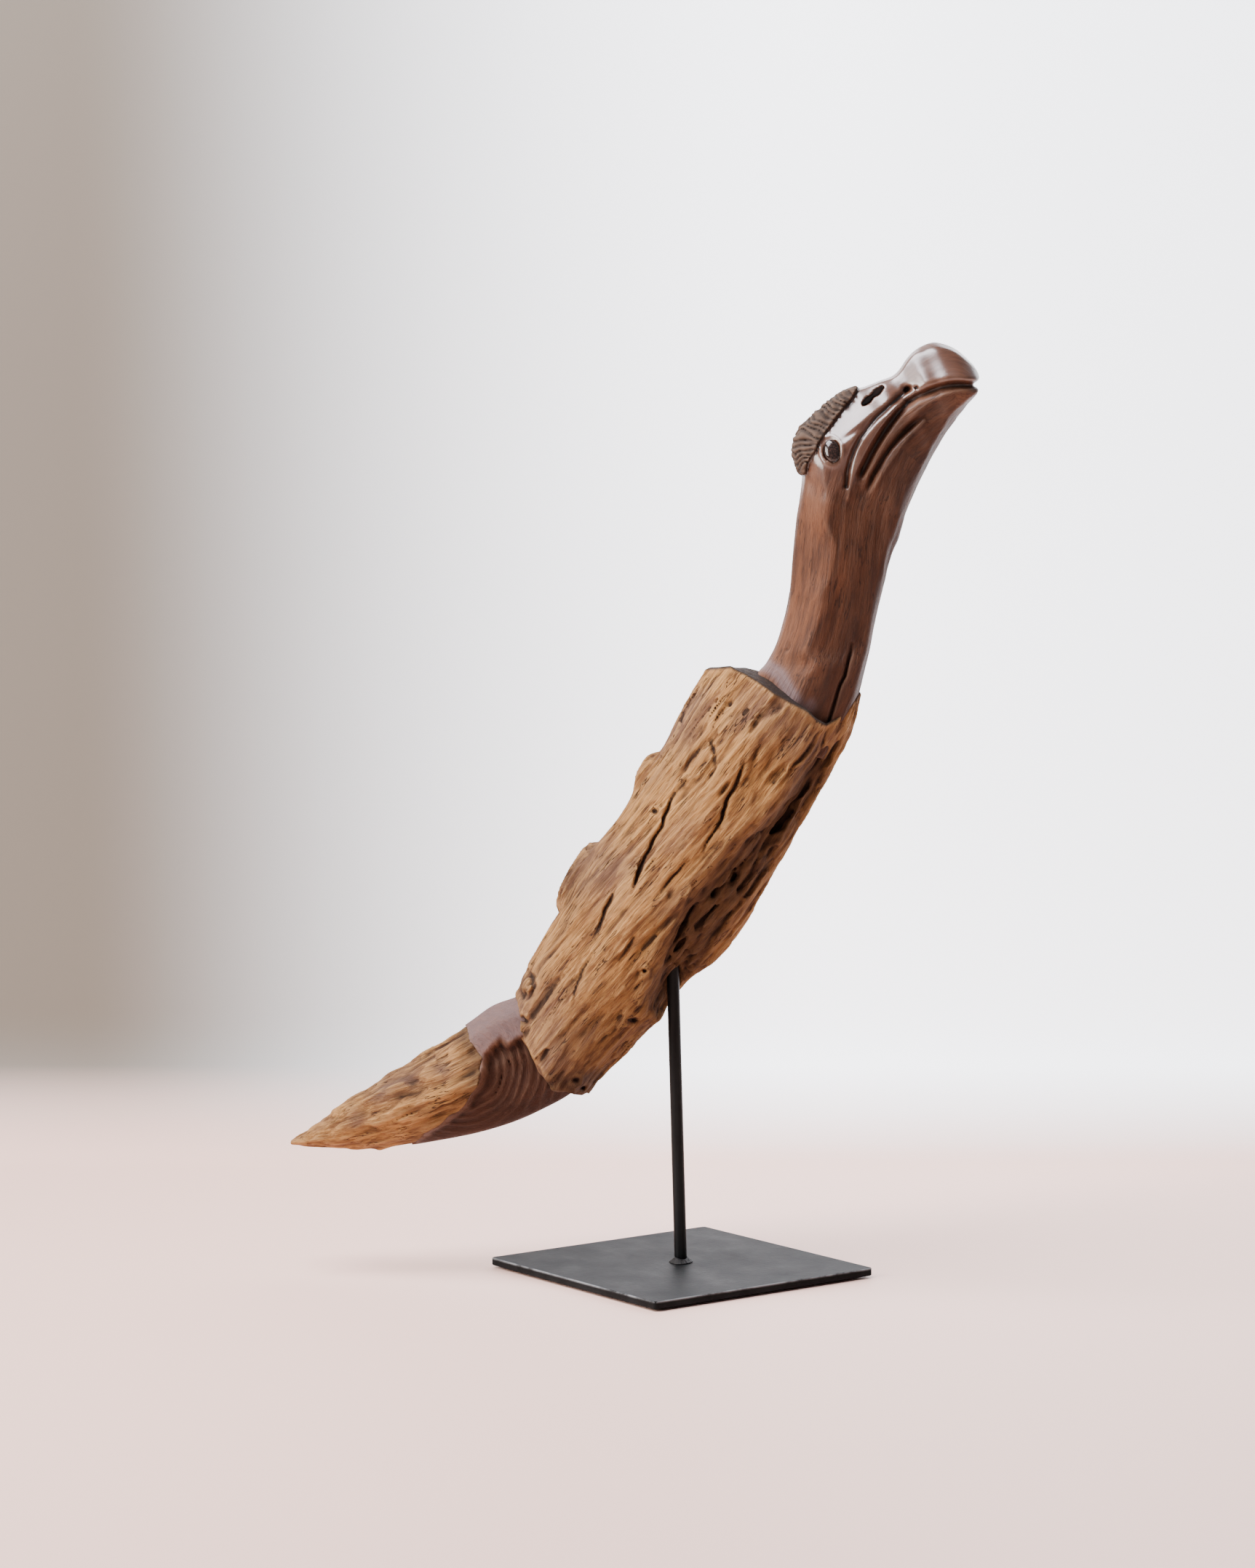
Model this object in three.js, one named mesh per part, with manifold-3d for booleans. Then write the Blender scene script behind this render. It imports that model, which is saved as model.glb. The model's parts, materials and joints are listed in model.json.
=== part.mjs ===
// A long-necked bird carved from one weathered log, standing on a steel rod and plate.
// The frame: +Z up, the bird faces +X, and the origin is where the rod's line meets the
// surface that the stand rests on. Lengths are millimetres.
import * as THREE from 'three';
import { mergeVertices } from 'three/addons/utils/BufferGeometryUtils.js';
import Module from 'manifold-3d';

const wasm = await Module();
wasm.setup();

// ---------------------------------------------------------------- driving sizes
const seatGap = 0.3; // between pieces that touch
const plateSide = 175;
const plateThickness = 5;
const plateCornerRadius = 2;
const plateEdgeChamfer = 0.5;
const plateTurnDeg = 37; // the plate is set square to nothing: it is turned under the bird
const feltThickness = 1.2;
const feltInset = 6; // from the plate's edge in to the felt's, all round
const rodRadius = 4;
const rodRise = 184; // plate to the mouth of the socket, along the rod
const rodLeanDeg = 1.6; // towards the tail
const weldLeg = 3.2; // fillet from the rod out over the plate
const socketDepth = 58;
const socketClearance = 0.35; // rod to socket wall
const socketMouthRadius = 7; // the mouth is broken out wider than the rod
const socketMouthDepth = 9;
const figureLength = 440; // bill tip to tail tip, along X
const figureHeight = 516; // underside of the tail to the top of the bill
const figureDepth = 88; // across the body, along Y
const figureSetBack = 8; // the bird's middle plane lies behind the rod
const ringGap = 0.4; // where sapwood has shrunk away from heartwood
const eyeWidth = 9.5;
const eyeHeight = 14;
const eyeDepth = 7;
const eyeProud = 2.6; // how far the bead stands out of its socket
const eyeClearance = 0.4;
const crestRibCount = 9;
const crestRibRadius = 2.6;
const crestRibSpan = 15; // half of a rib's length across the crown
const grooveRadius = 2.4; // the carved mouth lines
const nostrilRadius = 2.1;
const wormHoleRadius = 2.2;

// The bird is drawn at these sizes, and stretched to the driving sizes above.
const drawnLength = 440;
const drawnHeight = 516;
const drawnDepth = 88;
const stretch = new THREE.Vector3(
  figureLength / drawnLength,
  figureDepth / drawnDepth,
  figureHeight / drawnHeight,
);

const heartwood = { color: 0x5a3222, roughness: 0.42, metalness: 0 };
const sapwood = { color: 0xa9784a, roughness: 0.9, metalness: 0 };
const blackSteel = { color: 0x1b1d20, roughness: 0.45, metalness: 0.85 };
const weldSteel = { color: 0x2a2b2d, roughness: 0.6, metalness: 0.85 };
const feltGrey = { color: 0x3a3836, roughness: 1, metalness: 0 };
const eyeHorn = { color: 0x2a1a14, roughness: 0.15, metalness: 0 };

// ---------------------------------------------------------------- solids
function toSolid(geometry) {
  const bare = geometry.clone();
  bare.deleteAttribute('normal');
  bare.deleteAttribute('uv');
  const merged = mergeVertices(bare, 1e-4);
  const vertProperties = new Float32Array(merged.attributes.position.array);
  const triVerts = new Uint32Array(merged.index.array);
  return new wasm.Manifold(new wasm.Mesh({ numProp: 3, vertProperties, triVerts }));
}

function toGeometry(solid) {
  const mesh = solid.getMesh();
  const geometry = new THREE.BufferGeometry();
  geometry.setAttribute('position', new THREE.BufferAttribute(mesh.vertProperties, 3));
  geometry.setIndex(new THREE.BufferAttribute(mesh.triVerts, 1));
  geometry.computeVertexNormals();
  return geometry;
}

function makeMesh(name, geometry, finish) {
  const mesh = new THREE.Mesh(geometry, new THREE.MeshStandardMaterial(finish));
  mesh.name = name;
  return mesh;
}

// ---------------------------------------------------------------- lofts of the log
// A station is [back x, back z, front x, front z, half depth]: the two ends of one cross
// section in the bird's middle plane, and how far it reaches to each side. Stations are
// measured from the mouth of the rod's socket.
const ringSides = 22;
const ringsPerStation = 1.5;

// Bill, head and neck, and the heartwood inside the body, out of sight under the sapwood.
const heartStations = [
  [191, 386, 192, 374, 9],
  [188, 392, 189, 367, 15],
  [181, 398, 184, 360, 19],
  [171, 403, 177, 352, 21],
  [160, 402, 170, 343, 21],
  [150, 396, 164, 334, 20],
  [141, 385, 160, 327, 20],
  [132, 379, 157, 321, 22],
  [118, 376, 154, 315, 24],
  [101, 367, 150, 307, 26],
  [86, 355, 147, 300, 27],
  [77, 341, 144, 293, 27],
  [79, 324, 141, 285, 26],
  [78, 299, 138, 274, 25],
  [76, 276, 136, 264, 25],
  [74, 254, 133, 250, 25],
  [73, 237, 130, 235, 25],
  [69, 221, 127, 220, 26],
  [62, 205, 123, 200, 28],
  [50, 188, 117, 173, 31],
  [40, 168, 104, 146, 31],
  [24, 146, 83, 119, 30],
  [8, 122, 64, 91, 28],
  [-14, 88, 42, 58, 26],
  [-44, 52, 12, 21, 25],
  [-74, 18, -24, -20, 24],
  [-98, -18, -75, -66, 23],
];
// The carved waist between body and tail, at the tail's full height but thinner.
const waistStations = [
  [-74, 18, -24, -20, 22],
  [-98, -18, -75, -66, 22],
  [-121, -23, -87, -88, 21],
  [-142, -37, -114, -99, 20],
  [-165, -53, -143, -105, 20],
  [-190, -68, -172, -108, 19],
];
// The heart of the tail, a tongue inside the tail's sapwood.
const tongueStations = [
  [-115, -42, -102, -80, 13],
  [-150, -60, -136, -91, 11],
  [-184, -80, -174, -99, 8],
  [-204, -91, -198, -101, 4],
];
// The sapwood round the body. It is drawn longer than it is, and sawn off at both ends.
const sleeveStations = [
  [39, 228, 120, 188, 38],
  [27, 208, 112, 168, 42],
  [17, 190, 104, 147, 44],
  [4, 167, 92, 123, 44],
  [-9, 145, 79, 99, 44],
  [-23, 122, 66, 74, 44],
  [-37, 98, 54, 52, 44],
  [-54, 80, 43, 31, 44],
  [-73, 58, 28, 12, 44],
  [-80, 36, 8, -6, 43],
  [-92, 13, -8, -26, 42],
  [-101, -6, -24, -43, 40],
  [-107, -28, -40, -59, 38],
  [-116, -52, -58, -78, 36],
];
// The outside of the tail, as if its sapwood ran right up to the body.
const tailStations = [
  [-112, -18, -84, -84, 27],
  [-123, -23, -94, -92, 27],
  [-149, -42, -123, -101, 27],
  [-177, -61, -153, -107, 26],
  [-204, -79, -185, -110, 22],
  [-230, -97, -217, -110, 15],
  [-246, -105, -243, -109, 5],
];
// Saw cuts: a point on each cut, and the way that the waste lies.
const shoulderCut = { point: [27, 0, 198], away: [0.28, -0.1, 1] };
const hemCut = { point: [-90, 0, -45], away: [-0.92, -0.05, -0.39] };
const tailEdge = { point: [-145, 0, -70], away: [-0.936, 0, 0.351] };

// Lines and places carved on each side of the head, as [x, z].
const mouthLine = [[194, 377], [173, 378], [158, 373], [148, 365], [138, 357], [130, 347], [123, 334],
  [117, 322], [116, 317]];
const cheekLine = [[145, 373], [135, 365], [127, 357], [119, 349], [113, 339], [110, 329], [108, 314]];
const jawLine = [[157, 357], [148, 348], [138, 337], [130, 327], [123, 317], [122, 310]];
const nostrilLine = [[120, 365], [126, 370], [132, 375]];
const eyePlace = [99, 336];
const wormHolePlace = [149, 374];
const crestLine = [[113, 376], [101, 367], [92, 361], [83, 353], [77, 343], [77, 333], [80, 324]];
// The weathered channel down the near flank, which ends at the rod's socket.
const channelLine = [[104, 153], [84, 125], [65, 99], [35, 68], [6, 38], [-2, 10]];
const channelRadius = 6;

function stationCurve(stations, pick) {
  return new THREE.CatmullRomCurve3(stations.map(pick), false, 'catmullrom', 0.5);
}

function grooved(angle, along, size) {
  return 1 + size * (Math.sin(5 * angle + 0.7 * along) + 0.6 * Math.sin(9 * angle - 0.5 * along));
}

// One closed solid through the stations. Squareness 2 is an ellipse, more is squarer,
// waviness is the share by which the section swells and sinks round its girth, and swell
// makes the whole solid fatter, and longer at both ends.
function loft(stations, squareness, waviness, swell = 0) {
  const backs = stationCurve(stations, ([x, z]) => new THREE.Vector3(x, 0, z));
  const fronts = stationCurve(stations, ([, , x, z]) => new THREE.Vector3(x, 0, z));
  const depths = stationCurve(stations, ([, , , , depth], i) => new THREE.Vector3(i, depth, 0));
  const rings = Math.round((stations.length - 1) * ringsPerStation);
  const lengthened = { 0: -swell, [rings]: swell };
  const positions = [];
  const middles = [];
  for (let ring = 0; ring <= rings; ring += 1) {
    const along = ring / rings;
    const run = backs.getTangent(along).add(fronts.getTangent(along));
    run.setLength(lengthened[ring] ?? 0);
    const back = backs.getPoint(along).add(run);
    const front = fronts.getPoint(along).add(run);
    const depth = depths.getPoint(along).y + swell;
    const middle = back.clone().add(front).multiplyScalar(0.5);
    const half = back.clone().sub(front).multiplyScalar(0.5);
    half.setLength(half.length() + swell);
    middles.push(middle);
    for (let side = 0; side < ringSides; side += 1) {
      const angle = (2 * Math.PI * side) / ringSides;
      const wave = grooved(angle, along * stations.length, waviness);
      const toBack = roundedPower(Math.cos(angle), squareness) * wave;
      const toSide = roundedPower(Math.sin(angle), squareness) * wave;
      positions.push(middle.x + half.x * toBack, depth * toSide, middle.z + half.z * toBack);
    }
  }
  return stretched(closedTube(positions, rings, middles));
}

function roundedPower(value, squareness) {
  return Math.sign(value) * Math.abs(value) ** (2 / squareness);
}

function closedTube(positions, rings, middles) {
  const triangles = [];
  for (let ring = 0; ring < rings; ring += 1) {
    for (let side = 0; side < ringSides; side += 1) {
      const next = (side + 1) % ringSides;
      const a = ring * ringSides + side;
      const b = ring * ringSides + next;
      triangles.push(a, b, a + ringSides, b, b + ringSides, a + ringSides);
    }
  }
  const firstCentre = positions.length / 3;
  const lastCentre = firstCentre + 1;
  const lastRing = rings * ringSides;
  positions.push(middles[0].x, 0, middles[0].z, middles[rings].x, 0, middles[rings].z);
  for (let side = 0; side < ringSides; side += 1) {
    const next = (side + 1) % ringSides;
    triangles.push(firstCentre, next, side, lastCentre, lastRing + side, lastRing + next);
  }
  const geometry = new THREE.BufferGeometry();
  geometry.setAttribute('position', new THREE.Float32BufferAttribute(positions, 3));
  geometry.setIndex(triangles);
  return geometry;
}

function stretched(geometry) {
  return geometry.scale(stretch.x, stretch.y, stretch.z);
}

function drawn(x, y, z) {
  return new THREE.Vector3(x, y, z).multiply(stretch);
}

// ---------------------------------------------------------------- cutters
const far = 400; // further than any cutter has to reach

// A block whose face lies on the cut, with the waste on its side.
function sawBlock({ point, away }) {
  const block = new THREE.BoxGeometry(far, far, far);
  block.translate(0, 0, far / 2);
  const normal = new THREE.Vector3(...away).normalize();
  const turn = new THREE.Quaternion().setFromUnitVectors(new THREE.Vector3(0, 0, 1), normal);
  block.applyQuaternion(turn);
  const at = drawn(...point);
  return toSolid(block.translate(at.x, at.y, at.z));
}

// The block on the kept side of a cut, moved back from it by a gap.
function keepBlock({ point, away }, gap) {
  const normal = new THREE.Vector3(...away).normalize();
  const moved = new THREE.Vector3(...point).addScaledVector(normal, -gap).toArray();
  return sawBlock({ point: moved, away: away.map((part) => -part) });
}

// The point where a line from far outside, along Y, meets the wood at drawn [x, z].
function onSide(wood, [x, z], side) {
  const start = drawn(x, 0, z).setY(side * far);
  const ray = new THREE.Raycaster(start, new THREE.Vector3(0, -side, 0));
  const hits = ray.intersectObject(wood);
  return hits.length ? hits[0].point : start.setY(0);
}

function tubeAlong(points, radius, steps) {
  const circle = new THREE.Shape().absarc(0, 0, radius, 0, 2 * Math.PI);
  const extrudePath = new THREE.CatmullRomCurve3(points);
  return toSolid(new THREE.ExtrudeGeometry(circle, { steps, curveSegments: 3, extrudePath }));
}

// A groove along a drawn line on one side of the wood.
function sideGroove(wood, line, side, radius) {
  const points = line.map((place) => onSide(wood, place, side));
  return tubeAlong(points, radius, line.length + 2);
}

function ellipsoidAt(centre, width, depth, height) {
  const ball = new THREE.SphereGeometry(0.5, 20, 12);
  ball.scale(width, depth, height);
  return ball.translate(centre.x, centre.y, centre.z);
}

// ---------------------------------------------------------------- the bird
const rodLean = THREE.MathUtils.degToRad(rodLeanDeg);
const rodDirection = new THREE.Vector3(-Math.sin(rodLean), 0, Math.cos(rodLean));
const nearSide = -1;
const farSide = 1;

// A round bore up the leaning rod, with a wider broken mouth.
function socketCutter() {
  const boreRadius = rodRadius + socketClearance;
  const below = -60;
  const profile = [
    [0, below],
    [socketMouthRadius, below],
    [socketMouthRadius, 0],
    [boreRadius, socketMouthDepth],
    [boreRadius, socketDepth],
    [0, socketDepth],
  ].map(([radius, height]) => new THREE.Vector2(radius, height));
  const bore = new THREE.LatheGeometry(profile, 24).rotateX(Math.PI / 2);
  bore.rotateY(-rodLean);
  return toSolid(bore.translate(0, -figureSetBack, 0));
}

function eyeBead(head, side) {
  const centre = onSide(head, eyePlace, side);
  centre.y -= side * (eyeDepth / 2 - eyeProud);
  return ellipsoidAt(centre, eyeWidth, eyeDepth, eyeHeight);
}

function eyeSocket(head, side) {
  const centre = onSide(head, eyePlace, side);
  centre.y -= side * (eyeDepth / 2 - eyeProud);
  const room = 2 * eyeClearance;
  return toSolid(ellipsoidAt(centre, eyeWidth + room, eyeDepth + room, eyeHeight + room));
}

// A rib laid over the crown, from one side of the comb to the other.
function crestRib(head, place, inward) {
  const points = [-1, -0.5, 0, 0.5, 1].map((share) => {
    const start = drawn(place.x, 0, place.y).addScaledVector(inward, -far);
    start.y = share * crestRibSpan;
    const hits = new THREE.Raycaster(start, inward).intersectObject(head);
    return hits[0].point;
  });
  return tubeAlong(points, crestRibRadius, 5);
}

function crestRibs(head) {
  const line = new THREE.SplineCurve(crestLine.map(([x, z]) => new THREE.Vector2(x, z)));
  const ribs = [];
  for (let rib = 0; rib < crestRibCount; rib += 1) {
    const along = rib / (crestRibCount - 1);
    const place = line.getPointAt(along);
    const run = line.getTangentAt(along);
    ribs.push(crestRib(head, place, new THREE.Vector3(-run.y, 0, run.x)));
  }
  return ribs;
}

function joinAll(solid, others) {
  return others.reduce((sum, other) => sum.add(other), solid);
}

function cutAll(solid, others) {
  return others.reduce((rest, other) => rest.subtract(other), solid);
}

const heartLoft = loft(heartStations, 2.5, 0);
const rayHead = new THREE.Mesh(heartLoft, new THREE.MeshBasicMaterial({ side: THREE.DoubleSide }));

function makeHeartwood() {
  const waist = toSolid(loft(waistStations, 2.4, 0.02)).subtract(sawBlock(tailEdge));
  const tongue = toSolid(loft(tongueStations, 2, 0));
  const ribs = crestRibs(rayHead);
  const whole = joinAll(toSolid(heartLoft), [waist, tongue, ...ribs]);
  const cuts = [socketCutter()];
  for (const side of [nearSide, farSide]) {
    cuts.push(sideGroove(rayHead, mouthLine, side, grooveRadius));
    cuts.push(sideGroove(rayHead, cheekLine, side, grooveRadius * 0.75));
    cuts.push(sideGroove(rayHead, jawLine, side, grooveRadius * 0.75));
    cuts.push(sideGroove(rayHead, nostrilLine, side, nostrilRadius));
    cuts.push(eyeSocket(rayHead, side));
  }
  const wormHole = onSide(rayHead, wormHolePlace, nearSide);
  cuts.push(toSolid(ellipsoidAt(wormHole, 2 * wormHoleRadius, 8, 2 * wormHoleRadius)));
  return cutAll(whole, cuts);
}

function makeBodySapwood() {
  const sleeve = loft(sleeveStations, 2.3, 0.03);
  const raySleeve = new THREE.Mesh(sleeve, new THREE.MeshBasicMaterial({ side: THREE.DoubleSide }));
  const channel = sideGroove(raySleeve, channelLine, nearSide, channelRadius);
  return cutAll(toSolid(sleeve), [
    sawBlock(shoulderCut),
    sawBlock(hemCut),
    toSolid(loft(heartStations, 2.5, 0, ringGap)),
    toSolid(loft(waistStations, 2.4, 0.02, ringGap)),
    channel,
    socketCutter(),
  ]);
}

function makeTailSapwood() {
  return cutAll(toSolid(loft(tailStations, 2.4, 0.03)), [
    keepBlock(tailEdge, -ringGap),
    toSolid(loft(tongueStations, 2, 0, ringGap)),
  ]);
}

const bird = new THREE.Group();
bird.add(makeMesh('heartwood_core', toGeometry(makeHeartwood()), heartwood));
bird.add(makeMesh('body_sapwood', toGeometry(makeBodySapwood()), sapwood));
bird.add(makeMesh('tail_sapwood', toGeometry(makeTailSapwood()), sapwood));
bird.add(makeMesh('eye_near', eyeBead(rayHead, nearSide), eyeHorn));
bird.add(makeMesh('eye_far', eyeBead(rayHead, farSide), eyeHorn));

// ---------------------------------------------------------------- the stand
const plateTop = feltThickness + seatGap + plateThickness;

function squareOutline(half) {
  const corner = plateCornerRadius;
  const outline = new THREE.Shape();
  outline.moveTo(half, corner - half);
  outline.absarc(half - corner, half - corner, corner, 0, Math.PI / 2);
  outline.absarc(corner - half, half - corner, corner, Math.PI / 2, Math.PI);
  outline.absarc(corner - half, corner - half, corner, Math.PI, 1.5 * Math.PI);
  outline.absarc(half - corner, corner - half, corner, 1.5 * Math.PI, 2 * Math.PI);
  return outline;
}

function makePlate() {
  const plate = new THREE.ExtrudeGeometry(squareOutline(plateSide / 2 - plateEdgeChamfer), {
    depth: plateThickness - 2 * plateEdgeChamfer,
    bevelThickness: plateEdgeChamfer,
    bevelSize: plateEdgeChamfer,
    bevelSegments: 1,
    curveSegments: 4,
  });
  return plate.translate(0, 0, plateTop - plateThickness + plateEdgeChamfer);
}

function makeRod() {
  const length = rodRise + socketDepth - 2 * seatGap;
  const rod = new THREE.CylinderGeometry(rodRadius, rodRadius, length, 32);
  rod.rotateX(Math.PI / 2).translate(0, 0, length / 2 + seatGap);
  return rod.rotateY(-rodLean).translate(0, 0, plateTop);
}

function makeWeld() {
  const inner = rodRadius + seatGap;
  const outer = inner + weldLeg;
  const profile = [
    [inner, seatGap],
    [outer, seatGap],
    [outer - 0.1 * weldLeg, 0.25 * weldLeg],
    [inner + 0.45 * weldLeg, 0.55 * weldLeg],
    [inner, seatGap + weldLeg],
    [inner, seatGap],
  ].map(([radius, height]) => new THREE.Vector2(radius, height));
  const bead = new THREE.LatheGeometry(profile, 32).rotateX(Math.PI / 2);
  return bead.rotateY(-rodLean).translate(0, 0, plateTop);
}

// One sheet under the plate, whose underside is the face that the stand rests on.
function makeFelt() {
  return new THREE.ExtrudeGeometry(squareOutline(plateSide / 2 - feltInset), {
    depth: feltThickness,
    bevelEnabled: false,
    curveSegments: 4,
  });
}

const plateTurn = THREE.MathUtils.degToRad(plateTurnDeg);
const turned = new THREE.Group();
turned.rotation.z = plateTurn;
turned.add(makeMesh('base_plate', makePlate(), blackSteel));
turned.add(makeMesh('felt_sheet', makeFelt(), feltGrey));

bird.position.copy(rodDirection).multiplyScalar(rodRise);
bird.position.z += plateTop;
bird.position.y = figureSetBack;

const object = new THREE.Group();
object.add(turned);
object.add(makeMesh('support_rod', makeRod(), blackSteel));
object.add(makeMesh('foot_weld', makeWeld(), weldSteel));
object.add(bird);

export default object;
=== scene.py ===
import json
import math

import bpy
import numpy as np
import openvdb
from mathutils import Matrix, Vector


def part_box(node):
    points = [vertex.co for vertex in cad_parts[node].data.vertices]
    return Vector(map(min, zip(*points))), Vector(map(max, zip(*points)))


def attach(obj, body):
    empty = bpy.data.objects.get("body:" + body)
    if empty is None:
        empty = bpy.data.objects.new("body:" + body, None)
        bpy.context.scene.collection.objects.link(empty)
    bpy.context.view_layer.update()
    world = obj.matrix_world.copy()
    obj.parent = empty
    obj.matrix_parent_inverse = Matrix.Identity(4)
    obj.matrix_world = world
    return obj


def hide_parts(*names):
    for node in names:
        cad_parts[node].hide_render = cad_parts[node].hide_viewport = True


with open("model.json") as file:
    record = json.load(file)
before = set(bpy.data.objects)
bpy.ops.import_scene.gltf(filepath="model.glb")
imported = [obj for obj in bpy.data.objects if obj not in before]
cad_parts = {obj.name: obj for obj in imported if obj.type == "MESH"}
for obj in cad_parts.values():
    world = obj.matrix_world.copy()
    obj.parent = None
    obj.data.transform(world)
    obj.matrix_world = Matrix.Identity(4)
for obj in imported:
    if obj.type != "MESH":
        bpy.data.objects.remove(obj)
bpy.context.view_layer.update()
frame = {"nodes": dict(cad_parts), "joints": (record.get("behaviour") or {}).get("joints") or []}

# ------------------------------------------------------------------ camera
# A 100 mm lens a little under three metres away, nearly level with the bird's head and
# tipped down by five degrees.
camera_data = bpy.data.cameras.new("camera")
camera_data.sensor_fit = "VERTICAL"
camera_data.sensor_height = 36
camera_data.lens = 100
camera_data.clip_end = 50
camera = bpy.data.objects.new("camera", camera_data)
camera.location = (-0.0342, -2.759, 0.5602)
camera.rotation_euler = (math.radians(90 - 5.08), 0, 0)
bpy.context.scene.collection.objects.link(camera)
bpy.context.scene.camera = camera

# ------------------------------------------------------------------ floor and backdrop
# A pale warm surface that turns up into a pale cool wall half a metre behind the stand. The
# wall glows in its own colour as painted light and is painted darker towards its left as painted
# shade. The wall can't be seen from behind, so the back of the bird can be looked at too.
def add_object(name, points, faces, smooth=True):
    mesh = bpy.data.meshes.new(name)
    mesh.from_pydata([tuple(p) for p in points], [], [tuple(f) for f in faces])
    mesh.polygons.foreach_set("use_smooth", [smooth] * len(mesh.polygons))
    mesh.update()
    thing = bpy.data.objects.new(name, mesh)
    bpy.context.scene.collection.objects.link(thing)
    return thing


def feed(tree, socket, value):
    """Gives a socket a plain value, or links another node's socket to it."""
    if isinstance(value, bpy.types.NodeSocket):
        tree.links.new(value, socket)
    else:
        socket.default_value = value


def node(tree, kind, inputs=None, **settings):
    """Adds a shader node with its settings, and feeds its inputs."""
    made = tree.nodes.new(kind)
    for key, value in settings.items():
        setattr(made, key, value)
    for key, value in (inputs or {}).items():
        feed(tree, made.inputs[key], value)
    return made


def math_node(tree, operation, first, second=0.0, clamp=False):
    made = node(tree, "ShaderNodeMath", {0: first, 1: second}, operation=operation)
    made.use_clamp = clamp
    return made.outputs[0]


def times(tree, first, second):
    return math_node(tree, "MULTIPLY", first, second)


def mix_colour(tree, share, first, second):
    ends = {0: share, 6: first, 7: second}
    return node(tree, "ShaderNodeMix", ends, data_type="RGBA").outputs[2]


def ramp(tree, value, low, high):
    """Rises smoothly from 0 at low to 1 at high."""
    made = node(tree, "ShaderNodeMapRange", {0: value, 1: low, 2: high})
    made.interpolation_type = "SMOOTHSTEP"
    return made.outputs[0]


def between(tree, value, low, high, at_low, at_high):
    """Moves a value from its own range to another."""
    made = node(tree, "ShaderNodeMapRange", {0: value, 1: low, 2: high, 3: at_low, 4: at_high})
    return made.outputs[0]


def new_material(name):
    material = bpy.data.materials.new(name)
    material.use_nodes = True
    return material, material.node_tree, material.node_tree.nodes["Principled BSDF"]


floor_depth = 0.49
bend = 0.10
wall_top = 1.15
half_width = 2.5
profile = [(-2.4, 0.0), (-1.2, 0.0), (0.0, 0.0)]
for step in range(13):
    turn = math.radians(7.5 * step)
    profile.append((floor_depth - bend + bend * math.sin(turn), bend - bend * math.cos(turn)))
profile += [(floor_depth, 0.6), (floor_depth, wall_top)]
sweep_points = []
for x in (-half_width, half_width):
    sweep_points += [(x, y, z) for y, z in profile]
count = len(profile)
sweep_faces = [(i, i + count, i + count + 1, i + 1) for i in range(count - 1)]
first = len(sweep_points)
# the strip of floor behind the wall, a hair lower
for x, y in ((-1, floor_depth - bend), (1, floor_depth - bend), (1, 4.0), (-1, 4.0)):
    sweep_points.append((x * half_width, y, -0.0005))
sweep_faces.append((first, first + 1, first + 2, first + 3))
sweep = add_object("floor_and_wall", sweep_points, sweep_faces)
sweep_material, tree, surface = new_material("pale_surface")
place = node(tree, "ShaderNodeTexCoord")
parts = node(tree, "ShaderNodeSeparateXYZ", {0: place.outputs["Object"]})
rise = between(tree, parts.outputs[2], 0.0, 0.06, 0.0, 1.0)
# painted shade: the wall darkens towards its left, and its colour also glows as painted light
across = ramp(tree, parts.outputs[0], -0.45, 0.15)
wall = mix_colour(tree, across, (0.080, 0.066, 0.052, 1), (0.90, 0.95, 1.00, 1))
both = mix_colour(tree, rise, (0.78, 0.51, 0.43, 1), wall)
tree.links.new(both, surface.inputs["Base Color"])
tree.links.new(wall, surface.inputs["Emission Color"])
tree.links.new(times(tree, rise, 2.4), surface.inputs["Emission Strength"])
surface.inputs["Roughness"].default_value = 0.55
behind = node(tree, "ShaderNodeNewGeometry").outputs["Backfacing"]
clear = node(tree, "ShaderNodeBsdfTransparent").outputs[0]
one_way = node(tree, "ShaderNodeMixShader", {0: behind, 1: surface.outputs[0], 2: clear})
tree.links.new(one_way.outputs[0], tree.nodes["Material Output"].inputs["Surface"])
sweep.data.materials.append(sweep_material)

# ------------------------------------------------------------------ light
# One large window high on the left and one beside it, with the pale room all round.
def add_window(name, place, aim, width, height, watts, colour):
    data = bpy.data.lights.new(name, "AREA")
    data.shape = "RECTANGLE"
    data.size = width
    data.size_y = height
    data.energy = watts
    data.color = colour
    lamp = bpy.data.objects.new(name, data)
    lamp.location = place
    lamp.rotation_euler = (Vector(aim) - Vector(place)).to_track_quat("-Z", "Y").to_euler()
    bpy.context.scene.collection.objects.link(lamp)


cool, warm = (0.95, 0.94, 1.0), (1.0, 0.97, 0.93)
add_window("high_window", (-0.72, -0.26, 1.86), (0.08, 0.0, 0.50), 1.3, 1.1, 105, cool)
add_window("side_window", (-2.2, -1.0, 1.15), (0.0, 0.0, 0.35), 1.3, 1.3, 105, warm)
room = bpy.data.worlds.new("room")
room.use_nodes = True
sky = room.node_tree.nodes["Background"]
sky.inputs["Color"].default_value = (0.90, 0.94, 1.0, 1)
sky.inputs["Strength"].default_value = 0.24
bpy.context.scene.world = room

# ------------------------------------------------------------------ the body's sapwood
# The rough outer wood of the log. It was sawn off round the neck and at the hem, and it is
# split, ridged and hollowed along a grain that winds slowly round the log.
#
# The bird is drawn in millimetres from the mouth of the rod's socket: x towards the bill,
# y away from the weathered flank, z up.
mouth_height = 0.184
swivel = frame["joints"][0]
rod_axis = np.array(swivel["axis"], float)
rod_axis /= np.linalg.norm(rod_axis)
mouth = np.array(swivel["pos_m"], float) + mouth_height * rod_axis
core_low, core_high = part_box("heartwood_core")
mid_plane = (core_low.y + core_high.y) / 2
origin = np.array([mouth[0], mid_plane, mouth[2]])


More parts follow.
